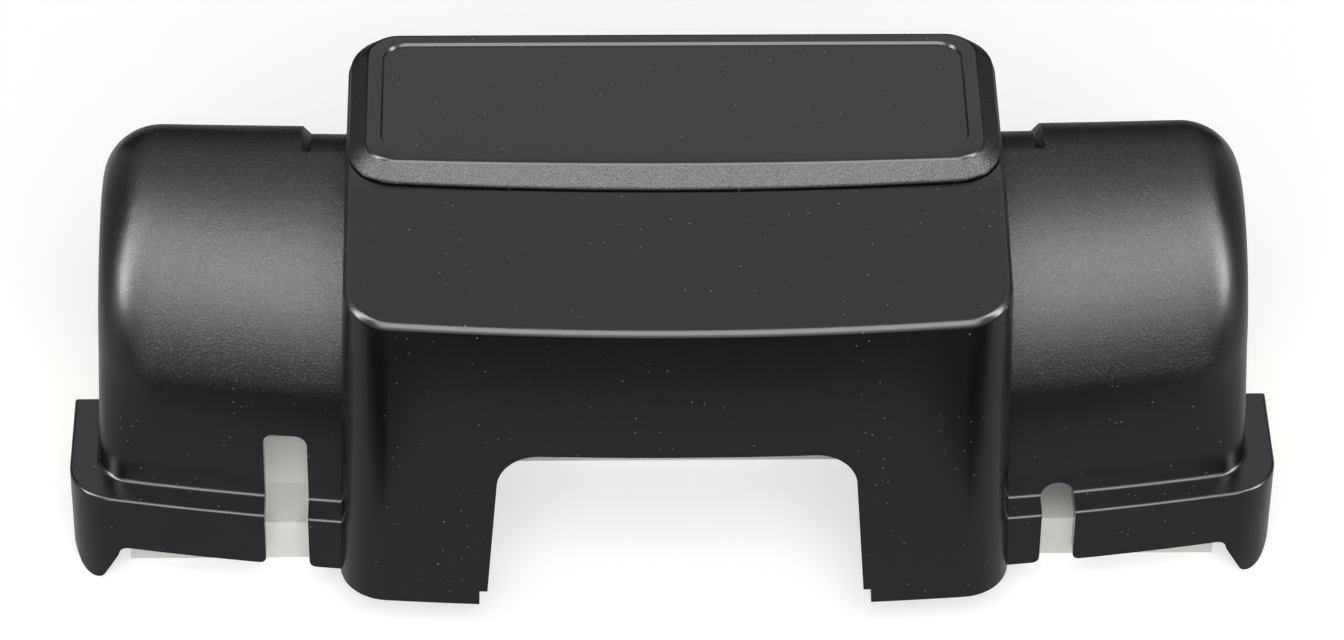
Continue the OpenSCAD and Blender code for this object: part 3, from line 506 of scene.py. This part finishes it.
def plateau_solid(s, inset):
    """Raised top with its bevel; the outer one also has the sunk panel."""
    foot_r = max(s.plateau_corner_r - inset, LEAST_R)
    top_r = max(s.plateau_corner_r - inset - s.plateau_bevel, LEAST_R)
    foot_z = s.shoulder_z + s.plateau_foot - inset
    levels = [plateau_level(s, s.ridge_z - inset, inset, s.block_bow_r, foot_r),
              plateau_level(s, foot_z, inset, s.block_bow_r, foot_r),
              plateau_level(s, s.top_z - inset, inset + s.plateau_bevel, s.top_bow_r, top_r)]
    if not inset:
        panel = s.plateau_bevel + s.panel_inset
        levels += [plateau_level(s, s.top_z, panel, s.top_bow_r, s.panel_r),
                   plateau_level(s, s.top_z - s.panel_depth, panel + s.panel_slope, s.top_bow_r,
                                 s.panel_r - s.panel_slope)]
    bm = bmesh.new()
    loops = [bowed_loop(bm, **level) for level in levels]
    skin_over(bm, loops)
    if not inset:
        round_edges(bm, loops[1] + loops[2], s.bevel_edge, BEVEL_STEPS)
    return bm


def reveal_solid(s):
    """Fine groove before the raised top, tucked under it at the sides and the back."""
    level = plateau_level(s, s.ridge_z, TUCK, s.block_bow_r, s.plateau_corner_r)
    level["front"] = s.at(s.shoulder_d - s.reveal_w)
    floor = s.shoulder_z - s.reveal_depth
    return stacked([{**level, "z": floor}, {**level, "z": s.top_z + PAST}])


def foot_prong(s, front, back):
    """A foot that narrows to a round tip, upright through the skirt's left corner."""
    bm = bmesh.new()
    outside = -s.half_w
    waist = s.rim_z - s.foot_root_r
    points = []
    for y in (front, back):
        tip = Matrix.Translation((outside + s.foot_tip_x, y, s.foot_tip_r))
        turned = tip @ Matrix.Rotation(math.pi / 2, 4, "X")
        points += bmesh.ops.create_circle(bm, segments=TIP_STEPS, radius=s.foot_tip_r,
                                          matrix=turned)["verts"]
        points += [bm.verts.new((x, y, waist)) for x in (outside - PAST, outside + s.foot_w)]
    hull = bmesh.ops.convex_hull(bm, input=points)
    inner = hull["geom_interior"] + hull["geom_unused"]
    spare = [g for g in inner if isinstance(g, bmesh.types.BMVert)]
    bmesh.ops.delete(bm, geom=spare, context="VERTS")
    bmesh.ops.dissolve_limit(bm, angle_limit=FLAT_ANGLE, verts=bm.verts[:], edges=bm.edges[:])
    bmesh.ops.recalc_face_normals(bm, faces=bm.faces[:])
    return bm


def foot_root(s, front, back):
    """The hollow root between a foot and the rim, on the skirt's left corner."""
    bm = bmesh.new()
    outside = -s.half_w - PAST
    loops = []
    for draw, drop in rounding(s.foot_root_r) + [(s.foot_root_r, -PAST)]:
        inside = -s.half_w + s.foot_w + draw
        middle = Matrix.Translation(((outside + inside) / 2, (front + back) / 2, s.rim_z - drop))
        spread = Matrix.Diagonal(((inside - outside) / 2, (back - front) / 2, 1, 1))
        ring = bmesh.ops.create_grid(bm, x_segments=1, y_segments=1, size=1.0,
                                     matrix=middle @ spread)["verts"]
        sheet = list({f for v in ring for f in v.link_faces})
        loops.append([e for f in sheet for e in f.edges])
        bmesh.ops.delete(bm, geom=sheet, context="FACES_ONLY")
    skin_over(bm, loops)
    return bm


def under_rim_solid(s):
    """What is cut away under the rim, so that only the feet at the front corners are left."""
    reach = s.cover_w
    obj = as_object("under_rim", box_solid((-reach, -reach, -PAST), (reach, reach, s.rim_z)))
    corner = s.block_lead + bow(s.half_w - s.skirt_corner_r, s.wing_bow_r)
    front, back = s.at(corner - PAST), s.at(corner + s.skirt_corner_r)
    for shape in (foot_root, foot_prong):
        combine(obj, both_sides(shape(s, front, back)), "DIFFERENCE")
    return taken_out(obj)


def recess_floor_solid(s):
    """The hoods as they are left by the recesses beside the block, whose outer sides slope up."""
    side, beyond = s.recess_side, 3 * PAST
    rings = ((s.hood_root_x, s.recess_depth), (side, s.recess_depth),
             (side + s.recess_slope, 0.0), (side + s.recess_slope + beyond, -beyond))
    bm = bmesh.new()
    skin_over(bm, [hood_ring(bm, s, x, inset, s.rim_z) for x, inset in rings])
    return both_sides(bm)


def recess_solid(s):
    """Shallow recesses on the back of the hoods, beside the block."""
    crest = (s.hood_front + bow(s.block_half, s.wing_bow_r) + s.hood_back) / 2
    low = (s.hood_root_x, s.at(crest + s.recess_start), s.ledge_z + s.wall)
    high = (s.recess_side + s.recess_slope, s.at(s.cover_d), s.top_z)
    obj = as_object("recess", both_sides(box_solid(low, high)))
    combine(obj, recess_floor_solid(s), "DIFFERENCE")
    return taken_out(obj)


def notch_solid(s):
    """Cable notch: rounded above, wider below."""
    half = s.notch_w / 2
    bm = box_solid((-half, s.at(-PAST), s.rim_z - s.notch_h),
                   (half, s.at(s.block_lead), s.rim_z + s.notch_h))
    for vert in bm.verts:
        if vert.co.z < s.rim_z:
            vert.co.x += math.copysign(2 * s.notch_flare, vert.co.x)
    round_edges(bm, upper_edges(bm, 1, s.rim_z), s.notch_r, CORNER_STEPS)
    return bm


def notch_step_solid(s):
    """Small step at the notch's foot."""
    half = s.notch_w / 2 + s.notch_flare + s.notch_step_w
    return box_solid((-half, s.at(-PAST), s.rim_z - PAST),
                     (half, s.at(s.block_lead), s.rim_z + s.notch_step_h))


def slot_solid(s, x, width, height, corner):
    """Wire slot through the skirt and a hood's front wall, splayed at the rim."""
    deep = s.at(s.hood_front + bow(x, s.wing_bow_r) + s.wall + PAST)
    bm = box_solid((x - width / 2, s.at(s.block_lead - PAST), s.rim_z - PAST),
                   (x + width / 2, deep, s.rim_z + height))
    round_edges(bm, upper_edges(bm, 1, s.rim_z), corner, CORNER_STEPS)
    mouth = [(s.rim_z + drop, draw) for draw, drop in rounding(s.slot_splay)]
    mouth.append((s.rim_z - PAST, s.slot_splay))
    for z, _ in mouth[:-1]:
        cut_across(bm, (0, 0, z), (0, 0, 1))
    splay_at = {round(z, LEVEL_DIGITS): splay for z, splay in mouth}
    for vert in bm.verts:
        splay = splay_at.get(round(vert.co.z, LEVEL_DIGITS), 0.0)
        vert.co.x += math.copysign(splay, vert.co.x - x)
    return bm


def end_openings_solid(s):
    """Cable openings in the two ends."""
    low = (s.hood_end - s.hood_end_r - PAST, s.at(s.end_opening_d), s.rim_z - s.end_opening_h)
    high = (s.half_w + PAST, s.at(s.end_opening_d + s.end_opening_w), s.rim_z + s.end_opening_h)
    bm = box_solid(low, high)
    round_edges(bm, upper_edges(bm, 0, s.rim_z), s.end_opening_r, CORNER_STEPS)
    return both_sides(bm)


def end_skirts_solid(s):
    """What is cut off the skirt's ends behind the beginning of the cable openings."""
    low = (s.hood_end + s.ledge_fillet, s.at(s.end_opening_d), -PAST)
    return both_sides(box_solid(low, (s.cover_w, s.at(s.cover_d + PAST), s.ledge_z + PAST)))


def soften_foot_of_hoods(obj, s):
    """Fillets the hollow edge between the ledge and the hoods."""
    bm = reopened(obj)
    hollow = [e for e in bm.edges if len(e.link_faces) == 2
              and all(abs(v.co.z - s.ledge_z) < ON_LEDGE for v in e.verts)
              and e.calc_face_angle_signed(0.0) < HOLLOW_ANGLE]
    round_edges(bm, hollow, s.ledge_fillet, FILLET_STEPS, clamp=False)
    bm.to_mesh(obj.data)
    bm.free()


def finish_mesh(obj):
    """Cleans a solid, shades it smooth between its sharp edges and turns it into metres."""
    bm = reopened(obj)
    bmesh.ops.remove_doubles(bm, verts=bm.verts[:], dist=SAME_POINT)
    bmesh.ops.dissolve_degenerate(bm, dist=NO_LENGTH, edges=bm.edges[:])
    for face in bm.faces:
        face.smooth = True
    for edge in bm.edges:
        edge.smooth = len(edge.link_faces) == 2 and edge.calc_face_angle(0.0) < SHARP_ANGLE
    bmesh.ops.scale(bm, vec=(MM, MM, MM), verts=bm.verts[:])
    bm.to_mesh(obj.data)
    bm.free()
    weighted = obj.modifiers.new("Weighted normals", "WEIGHTED_NORMAL")
    weighted.mode = "FACE_AREA"
    weighted.keep_sharp = True


def place_piece(obj, body, slot, *nodes):
    """Gives a finished piece its body and its finish, and hides the CAD nodes that it stands for."""
    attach(obj, body)
    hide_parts(*nodes)
    obj.data.materials.clear()
    obj.data.materials.append(finish(slot))


class SHUNT_OT_cover(bpy.types.Operator):
    """Moulds the cover: two hoods on a ledged skirt, with the centre block between them"""

    bl_idname = "shunt.cover"
    bl_label = "Cover"

    def execute(self, context):
        s = cover_sizes(context)
        obj = as_object("cover_shell", skirt_solid(s))
        combine(obj, hoods_solid(s, 0.0, s.ledge_z - PAST), "UNION")
        soften_foot_of_hoods(obj, s)
        combine(obj, recess_solid(s), "DIFFERENCE")
        combine(obj, block_solid(s, 0.0, 0.0), "UNION")
        combine(obj, reveal_solid(s), "DIFFERENCE")
        combine(obj, plateau_solid(s, 0.0), "UNION")
        combine(obj, under_rim_solid(s), "DIFFERENCE")
        openings = [
            stacked([skirt_level(s, -PAST, s.wall), skirt_level(s, s.ledge_z - s.wall, s.wall)]),
            hoods_solid(s, s.wall, -PAST),
            block_solid(s, s.wall, -PAST),
            plateau_solid(s, s.wall),
            notch_solid(s),
            notch_step_solid(s),
            slot_solid(s, -s.tall_slot_x, s.tall_slot_w, s.tall_slot_h, s.tall_slot_r),
            slot_solid(s, s.short_slot_x, s.short_slot_w, s.short_slot_h,
                       FULL_ROUND * s.short_slot_w),
            end_openings_solid(s),
            end_skirts_solid(s),
        ]
        for solid in openings:
            combine(obj, solid, "DIFFERENCE")
        finish_mesh(obj)
        place_piece(obj, "cover", "cover_black", "cover")
        return {"FINISHED"}


# Finishes

class Board:
    """Short way to place and wire the nodes of one tree."""

    def __init__(self, tree):
        self.tree = tree

    def add(self, kind, inputs=None, **settings):
        """A node with its settings and inputs; an input is a value or another node's output."""
        node = self.tree.nodes.new(kind)
        for name, value in settings.items():
            setattr(node, name, value)
        for name, value in (inputs or {}).items():
            if isinstance(value, bpy.types.NodeSocket):
                self.tree.links.new(value, node.inputs[name])
            else:
                node.inputs[name].default_value = value
        return node

    def math(self, operation, *values):
        """A math node's result."""
        return self.add("ShaderNodeMath", dict(enumerate(values)), operation=operation).outputs[0]

    def ramp(self, value, low, high, to_low=0.0, to_high=1.0):
        """A value carried smoothly from one range to another."""
        inputs = {"Value": value, "From Min": low, "From Max": high,
                  "To Min": to_low, "To Max": to_high}
        node = self.add("ShaderNodeMapRange", inputs, interpolation_type="SMOOTHSTEP")
        return node.outputs["Result"]

    def mix(self, factor, first, second):
        """A blend of two colours."""
        inputs = {"Factor": factor, 6: first, 7: second}
        return self.add("ShaderNodeMix", inputs, data_type="RGBA").outputs[2]

    def noise(self, vector, scale, detail, roughness=0.5):
        """A noise value."""
        inputs = {"Vector": vector, "Scale": scale, "Detail": detail, "Roughness": roughness}
        return self.add("ShaderNodeTexNoise", inputs).outputs["Fac"]

    def place(self):
        """The surface's place on its object."""
        return self.add("ShaderNodeTexCoord").outputs["Object"]

    def bump(self, height, strength, distance):
        """A normal bent by a height."""
        inputs = {"Height": height, "Strength": strength, "Distance": distance}
        return self.add("ShaderNodeBump", inputs).outputs["Normal"]

    def wire(self, node, **outputs):
        """Links outputs to a node's inputs."""
        for label, output in outputs.items():
            self.tree.links.new(output, node.inputs[label.replace("_", " ")])


def new_group(name, inputs, outputs):
    """An empty node group of values; returns its board, its inputs and its output node."""
    tree = bpy.data.node_groups.new(name, "ShaderNodeTree")
    for label, default in inputs.items():
        socket = tree.interface.new_socket(label, in_out="INPUT", socket_type="NodeSocketFloat")
        socket.default_value = default
    for label in outputs:
        tree.interface.new_socket(label, in_out="OUTPUT", socket_type="NodeSocketFloat")
    board = Board(tree)
    return board, board.add("NodeGroupInput").outputs, board.add("NodeGroupOutput")


def moulded_grain_group():
    """Spark grain of a mould: a fine leathery height and a slow change of gloss."""
    b, given, result = new_group("Moulded grain", {"Scale": 4000.0}, ("Height", "Gloss"))
    where = b.place()
    finer, fine_share, gloss_scale = 2.7, 0.35, 55.0
    coarse = b.noise(where, given["Scale"], detail=2.0, roughness=0.55)
    fine = b.noise(where, b.math("MULTIPLY", given["Scale"], finer), detail=1.0)
    height = b.math("ADD", b.ramp(coarse, 0.3, 0.7), b.math("MULTIPLY", fine, fine_share))
    gloss = b.noise(where, gloss_scale, detail=3.0, roughness=0.6)
    b.wire(result, Height=height, Gloss=gloss)


def dust_group():
    """Sparse specks of dust, as a mask."""
    defaults = {"Scale": 1600.0, "Share": 0.22, "Size": 0.1}
    least_size = 0.4
    b, given, result = new_group("Dust specks", defaults, ("Mask",))
    cells = b.add("ShaderNodeTexVoronoi",
                  {"Vector": b.place(), "Scale": given["Scale"], "Randomness": 1.0})
    chosen = b.add("ShaderNodeSeparateColor", {"Color": cells.outputs["Color"]})
    is_speck = b.math("LESS_THAN", chosen.outputs[0], given["Share"])
    size = b.math("MULTIPLY", given["Size"], b.math("ADD", chosen.outputs[1], least_size))
    inside = b.math("LESS_THAN", cells.outputs["Distance"], size)
    b.wire(result, Mask=b.math("MULTIPLY", is_speck, inside))


def tool_marks_group():
    """Fine parallel marks of a tool, with a blotchy tarnish."""
    defaults = {"Along X": 60.0, "Along Y": 1800.0, "Along Z": 1800.0}
    tarnish_scale = 180.0
    b, given, result = new_group("Tool marks", defaults, ("Lines", "Tarnish"))
    where = b.place()
    stretch = b.add("ShaderNodeCombineXYZ", {k: given[label] for k, label in enumerate(defaults)})
    along = b.add("ShaderNodeVectorMath", {0: where, 1: stretch.outputs[0]}, operation="MULTIPLY")
    lines = b.noise(along.outputs[0], 1.0, detail=3.0, roughness=0.6)
    blotches = b.noise(where, tarnish_scale, detail=4.0, roughness=0.6)
    b.wire(result, Lines=lines, Tarnish=b.ramp(blotches, 0.45, 0.75))


def placed_group(board, name, **values):
    """A placed node group's outputs."""
    node = board.tree.nodes.new("ShaderNodeGroup")
    node.node_tree = bpy.data.node_groups[name]
    for label, value in values.items():
        node.inputs[label.replace("_", " ")].default_value = value
    return node.outputs


def finish(slot):
    """The finished material of a slot."""
    return bpy.data.materials[slot + FINISH_TAIL]


def new_material(slot, **constants):
    """A material with a Principled shader; returns its board and the shader."""
    material = bpy.data.materials.new(slot + FINISH_TAIL)
    material.use_nodes = True
    board = Board(material.node_tree)
    shader = next(n for n in material.node_tree.nodes if n.type == "BSDF_PRINCIPLED")
    for label, value in constants.items():
        shader.inputs[label.replace("_", " ")].default_value = value
    return board, shader


def shade(colour, factor):
    """A colour made lighter or darker, with its alpha."""
    return tuple(min(1.0, c * factor) for c in colour) + (1.0,)


# The cover's grain: cells per metre, depth in metres, and millimetres from a line where it fades
GRAIN_SCALE = 6500.0
SATIN_SCALE = 8000.0
SATIN_SHARE = 0.12
# Cells per metre of the painted highlight on the grain's peaks
PAINTED_GLINT_SCALE = 6000.0
SMUDGE_SCALE = 38.0
GRAIN_DEPTH = 0.000026
BLOCK_FADE = (-0.3, 0.2)
ARCH_FADE = (-0.5, 3.0)
END_FADE = (-6.0, -3.0)
END_PLAINER = 0.85
PANEL_MARGIN = 0.03
DUST_HIDDEN = 0.8

# The cover's roughness: of its satin walls, and what grain, gloss and smudges add; and of dust
SATIN_ROUGH = 0.19
GRAIN_ROUGH = 0.04
GLOSS_ROUGH = 0.06
SMUDGE_ROUGH = -0.03
DUST_ROUGH = 0.9


def fade(board, value, line, span):
    """0 before a span and 1 after it; the span lies by a line, both in millimetres."""
    return board.ramp(value, (line + span[0]) * MM, (line + span[1]) * MM)


def lessened(board, mask, share):
    """1 where a mask is 0, and less by a share where it is 1."""
    return board.math("MULTIPLY_ADD", mask, -share, 1.0)


def grain_mask(b, s):
    """1 where the cover is grained: the hoods' round tops, less at their ends, and the bevel."""
    where = b.add("ShaderNodeSeparateXYZ", {0: b.place()}).outputs
    aside, z = b.math("ABSOLUTE", where[0]), where[2]
    beside = fade(b, aside, s.block_top_half, BLOCK_FADE)
    arched = b.math("MULTIPLY", beside, fade(b, z, s.spring_z, ARCH_FADE))
    at_end = fade(b, aside, s.hood_end, END_FADE)
    hoods = b.math("MULTIPLY", arched, lessened(b, at_end, END_PLAINER))
    bevel_low = b.math("GREATER_THAN", z, (s.shoulder_z + s.plateau_foot) * MM)
    bevel_high = b.math("LESS_THAN", z, (s.top_z - s.panel_depth - PANEL_MARGIN) * MM)
    return b.math("MAXIMUM", hoods, b.math("MULTIPLY", bevel_low, bevel_high))


def cover_material(colours, s):
    """Black moulding: grain on the round tops and the bevel, painted highlights on the grain's
    peaks, satin walls, dust and smudges.
    """
    b, shader = new_material("cover_black", Specular_IOR_Level=0.44)
    grained = grain_mask(b, s)
    coarse = placed_group(b, "Moulded grain", Scale=GRAIN_SCALE)
    satin = placed_group(b, "Moulded grain", Scale=SATIN_SCALE)
    height = b.math("ADD", b.math("MULTIPLY", coarse["Height"], grained),
                    b.math("MULTIPLY", satin["Height"], SATIN_SHARE))
    specks = placed_group(b, "Dust specks")["Mask"]
    dust = b.math("MULTIPLY", specks, lessened(b, grained, DUST_HIDDEN))
    black = b.mix(coarse["Gloss"],
                  shade(colours.cover_black, 0.8), shade(colours.cover_black, 1.35))
    # Painted highlight: the grain's peaks get a lighter base colour, as if they caught the light
    painted_glint_peaks = b.ramp(b.noise(b.place(), PAINTED_GLINT_SCALE, detail=1.0), 0.52, 0.72)
    black = b.mix(b.math("MULTIPLY", grained, painted_glint_peaks), black, shade(colours.painted_glint, 1.0))
    smudge = b.ramp(b.noise(b.place(), SMUDGE_SCALE, detail=4.0, roughness=0.65), 0.48, 0.72)
    gloss = b.math("ADD", b.math("MULTIPLY", coarse["Gloss"], GLOSS_ROUGH),
                   b.math("MULTIPLY", smudge, SMUDGE_ROUGH))
    rough = b.math("MULTIPLY_ADD", grained, GRAIN_ROUGH, b.math("ADD", gloss, SATIN_ROUGH))
    b.wire(shader,
           Base_Color=b.mix(dust, black, shade(colours.dust, 1.0)),
           Roughness=b.math("MAXIMUM", rough, b.math("MULTIPLY", dust, DUST_ROUGH)),
           Normal=b.bump(height, strength=1.0, distance=GRAIN_DEPTH))


def plastic_material(name, colour, roughness, grain):
    """A moulded plastic with its own grain and gloss."""
    b, shader = new_material(name, Specular_IOR_Level=0.4)
    skin = placed_group(b, "Moulded grain", Scale=grain)
    b.wire(shader,
           Base_Color=b.mix(skin["Gloss"], shade(colour, 0.88), shade(colour, 1.08)),
           Roughness=b.ramp(skin["Gloss"], 0.2, 0.8, roughness - 0.08, roughness + 0.1),
           Normal=b.bump(skin["Height"], strength=0.25, distance=0.00001))


def metal_material(name, colour, roughness, along, tarnish):
    """A metal with tool marks and a tarnish."""
    b, shader = new_material(name, Metallic=1.0)
    marks = placed_group(b, "Tool marks", Along_X=along[0], Along_Y=along[1], Along_Z=along[2])
    clean = b.mix(marks["Lines"], shade(colour, 0.86), shade(colour, 1.1))
    b.wire(shader,
           Base_Color=b.mix(marks["Tarnish"], clean, shade(colour, tarnish)),
           Roughness=b.ramp(marks["Lines"], 0.3, 0.7, roughness - 0.08, roughness + 0.12),
           Normal=b.bump(marks["Lines"], strength=0.12, distance=0.000008))


# Roughness of the plastics, and the cells of their grain per metre
PLASTICS = {
    "base_white": (0.45, 2500.0),
    "board_green": (0.32, 3000.0),
    "chip_black": (0.5, 7000.0),
    "ferrite": (0.6, 4000.0),
    "socket_cream": (0.42, 3000.0),
    "terminal_green": (0.4, 3000.0),
    "led_lens": (0.15, 3000.0),
}

# Roughness of the metals, their tool marks per metre along X, Y and Z, and their tarnish's shade
METALS = {
    "brass": (0.32, (60.0, 1800.0, 1800.0), 0.82),
    "manganin": (0.38, (40.0, 1800.0, 1800.0), 0.78),
    "steel": (0.28, (1500.0, 1500.0, 1500.0), 0.88),
    "spring_steel": (0.35, (1500.0, 1500.0, 1500.0), 0.8),
    "can_silver": (0.3, (300.0, 300.0, 1500.0), 0.9),
    "tinned_pin": (0.25, (200.0, 1500.0, 1500.0), 0.8),
}


class SHUNT_OT_finishes(bpy.types.Operator):
    """Makes the finishes and gives them to the CAD nodes that stay in sight"""

    bl_idname = "shunt.finishes"
    bl_label = "Finishes"

    def execute(self, context):
        colours = context.scene.shunt_finish
        moulded_grain_group()
        dust_group()
        tool_marks_group()
        cover_material(colours, cover_sizes(context))
        for name, look in PLASTICS.items():
            plastic_material(name, getattr(colours, name), *look)
        for name, look in METALS.items():
            metal_material(name, getattr(colours, name), *look)
        for part in frame["record"]["subparts"]:
            for place in frame["nodes"][part["node"]].material_slots:
                place.material = finish(part["material_slot"])
        return {"FINISHED"}


# The stage, in metres: cards between two corners, softboxes with a direction, a width and a height
FRONT_FLAG = ((-0.036, -0.069, 0.0), (0.036, -0.067, 0.027))
DARK_STRIP = ((0.036, -0.076, 0.0), (0.2, -0.043, 0.0001))
SIDE_FLAG = ((0.110, 0.0, 0.0), (0.112, 0.110, 0.090))
BACK_FLAG = ((-0.2, 0.110, 0.0), (0.2, 0.112, 0.080))
FLOOR_HALF = 6.0
SHEET_HALF = 0.15
SHEET_Z = 0.00002
AIM_Z = 0.025
FILL_DISTANCE = 1.3
MIRRORED_DISTANCE = 1.0
FILL_BOX = ((0.0, -0.72, 0.69), (0.9, 0.9))
FRONT_BOX = ((0.0, -0.68, 0.73), (1.1, 0.86))
LOW_BOX = ((0.0, -0.966, 0.26), (1.4, 0.50))
SIDE_BOX = ((0.82, -0.22, 0.52), (0.26, 1.45))
COOL_WHITE = (0.95, 0.97, 1.0)

# Greys of the stage
FLOOR_GREY = 0.5
FLOOR_GLOW = 0.6
SHEET_GREY = 0.55
DARK_GREY = 0.01
PALE_GREY = 0.8


def grey(level):
    """A grey, with its alpha."""
    return (level, level, level, 1.0)


def matt_material(name, level):
    """A grey that mirrors nothing; returns its board and the shader."""
    return new_material(name, Roughness=0.9, Specular_IOR_Level=0.0, Base_Color=grey(level))


def seen_directly(board):
    """1 for the camera, mirrors and glass, else 0."""
    path = board.add("ShaderNodeLightPath").outputs
    mirrored = board.math("MAXIMUM", path["Is Glossy Ray"], path["Is Transmission Ray"])
    return board.math("MAXIMUM", path["Is Camera Ray"], mirrored)


def floor_and_world(settings):
    """Pale floor that keeps the shadow, under a white surrounding."""
    bm = bmesh.new()
    bmesh.ops.create_grid(bm, x_segments=1, y_segments=1, size=FLOOR_HALF)
    floor = as_object("floor", bm)
    b, shader = matt_material("pale_floor", FLOOR_GREY)
    shader.inputs["Emission Color"].default_value = grey(FLOOR_GLOW)
    b.wire(shader, Emission_Strength=seen_directly(b))
    floor.data.materials.append(finish("pale_floor"))
    world = bpy.data.worlds.new("studio")
    world.use_nodes = True
    b = Board(world.node_tree)
    sky = next(n for n in world.node_tree.nodes if n.type == "BACKGROUND")
    sky.inputs["Color"].default_value = grey(1.0)
    b.wire(sky, Strength=b.math("MAXIMUM", seen_directly(b), settings.ambient))
    bpy.context.scene.world = world


def mirrored_card(name, bm, level):
    """A card of the studio that only mirror images show."""
    card = as_object(name, bm)
    matt_material(name, level)
    card.data.materials.append(finish(name))
    card.visible_camera = card.visible_diffuse = card.visible_shadow = False


def studio_cards():
    """A grey sheet under the object and cards round it, which shape its mirror images."""
    sheet = bmesh.new()
    bmesh.ops.create_grid(sheet, x_segments=1, y_segments=1, size=SHEET_HALF,
                          matrix=Matrix.Translation((0, 0, SHEET_Z)))
    mirrored_card("grey_sheet", sheet, SHEET_GREY)
    mirrored_card("front_flag", box_solid(*FRONT_FLAG), DARK_GREY)
    mirrored_card("dark_strips", both_sides(box_solid(*DARK_STRIP)), DARK_GREY)
    mirrored_card("side_flags", both_sides(box_solid(*SIDE_FLAG)), PALE_GREY)
    mirrored_card("back_flag", box_solid(*BACK_FLAG), DARK_GREY)


def softbox(name, direction, size, distance, power):
    """A soft area lamp that looks at the object."""
    lamp = bpy.data.lights.new(name, "AREA")
    lamp.shape = "RECTANGLE"
    lamp.size, lamp.size_y = size
    lamp.energy = power
    obj = bpy.data.objects.new(name, lamp)
    towards = Vector(direction).normalized()
    obj.location = towards * distance + Vector((0, 0, AIM_Z))
    obj.rotation_euler = towards.to_track_quat("Z", "Y").to_euler()
    bpy.context.scene.collection.objects.link(obj)
    return obj


def mirrored_softbox(name, direction, size, glow):
    """A softbox that shows in mirror images; the fill light does the lighting."""
    power = glow * math.pi * size[0] * size[1]
    lamp = softbox(name, direction, size, MIRRORED_DISTANCE, power)
    lamp.visible_diffuse = False
    lamp.data.color = COOL_WHITE


def photo_camera(context, settings):
    """The camera at the photograph's viewing angle."""
    e, a, r = settings.elevation, settings.azimuth, settings.roll
    ahead = Vector((-math.sin(a) * math.cos(e), math.cos(a) * math.cos(e), -math.sin(e)))
    across = Vector((math.cos(a), math.sin(a), 0.0))
    down = ahead.cross(across)
    right = math.cos(r) * across + math.sin(r) * down
    down = -math.sin(r) * across + math.cos(r) * down
    aim = Vector((0.0, 0.0, settings.aim_z))
    place = aim - (settings.aside * right + settings.below * down + settings.distance * ahead)
    data = bpy.data.cameras.new("photo_camera")
    data.lens = settings.focal
    data.sensor_width = SENSOR_W
    data.sensor_fit = "HORIZONTAL"
    data.clip_start, data.clip_end = NEAR_AND_FAR
    camera = bpy.data.objects.new("photo_camera", data)
    axes = Matrix((right, -down, -ahead)).transposed().to_4x4()
    camera.matrix_world = Matrix.Translation(place) @ axes
    context.scene.collection.objects.link(camera)
    context.scene.camera = camera


class SHUNT_OT_stage(bpy.types.Operator):
    """Sets up the pale floor, the soft lights and the camera"""

    bl_idname = "shunt.stage"
    bl_label = "Stage"

    def execute(self, context):
        settings = context.scene.shunt_stage
        floor_and_world(settings)
        studio_cards()
        fill = softbox("fill_light", *FILL_BOX, FILL_DISTANCE, settings.fill_light)
        fill.visible_glossy = False
        mirrored_softbox("front_softbox", *FRONT_BOX, settings.front_glow)
        mirrored_softbox("low_softbox", *LOW_BOX, settings.low_glow)
        (x, y, z), size = SIDE_BOX
        for name, side in (("left_softbox", -1), ("right_softbox", 1)):
            mirrored_softbox(name, (side * x, y, z), size, settings.side_glow)
        photo_camera(context, settings)
        context.scene.view_settings.view_transform = "Standard"
        return {"FINISHED"}


class SHUNT_PT_panel(bpy.types.Panel):
    """Lists the steps and settings in the sidebar"""

    bl_idname = "SHUNT_PT_panel"
    bl_label = "Shunt"
    bl_space_type = "VIEW_3D"
    bl_region_type = "UI"
    bl_category = "Shunt"

    def draw(self, context):
        for step in STEPS:
            self.layout.operator(step.bl_idname)
        for place, kind in SETTINGS.items():
            box = self.layout.box()
            for name in kind.__annotations__:
                box.prop(getattr(context.scene, place), name)


STEPS = (SHUNT_OT_finishes, SHUNT_OT_cover, SHUNT_OT_stage)
SETTINGS = {"shunt_cover": CoverSizes, "shunt_finish": FinishColours, "shunt_stage": StageSettings}
CLASSES = (*SETTINGS.values(), *STEPS, SHUNT_PT_panel)


def register():
    """Makes the settings, steps and panel known to Blender."""
    for cls in CLASSES:
        bpy.utils.register_class(cls)
    for name, kind in SETTINGS.items():
        setattr(bpy.types.Scene, name, PointerProperty(type=kind))


def unregister():
    """Takes them away again."""
    for name in SETTINGS:
        delattr(bpy.types.Scene, name)
    for cls in reversed(CLASSES):
        bpy.utils.unregister_class(cls)


def main():
    """Runs every step in order."""
    register()
    bpy.ops.shunt.finishes()
    bpy.ops.shunt.cover()
    bpy.ops.shunt.stage()


if __name__ == "__main__":
    main()
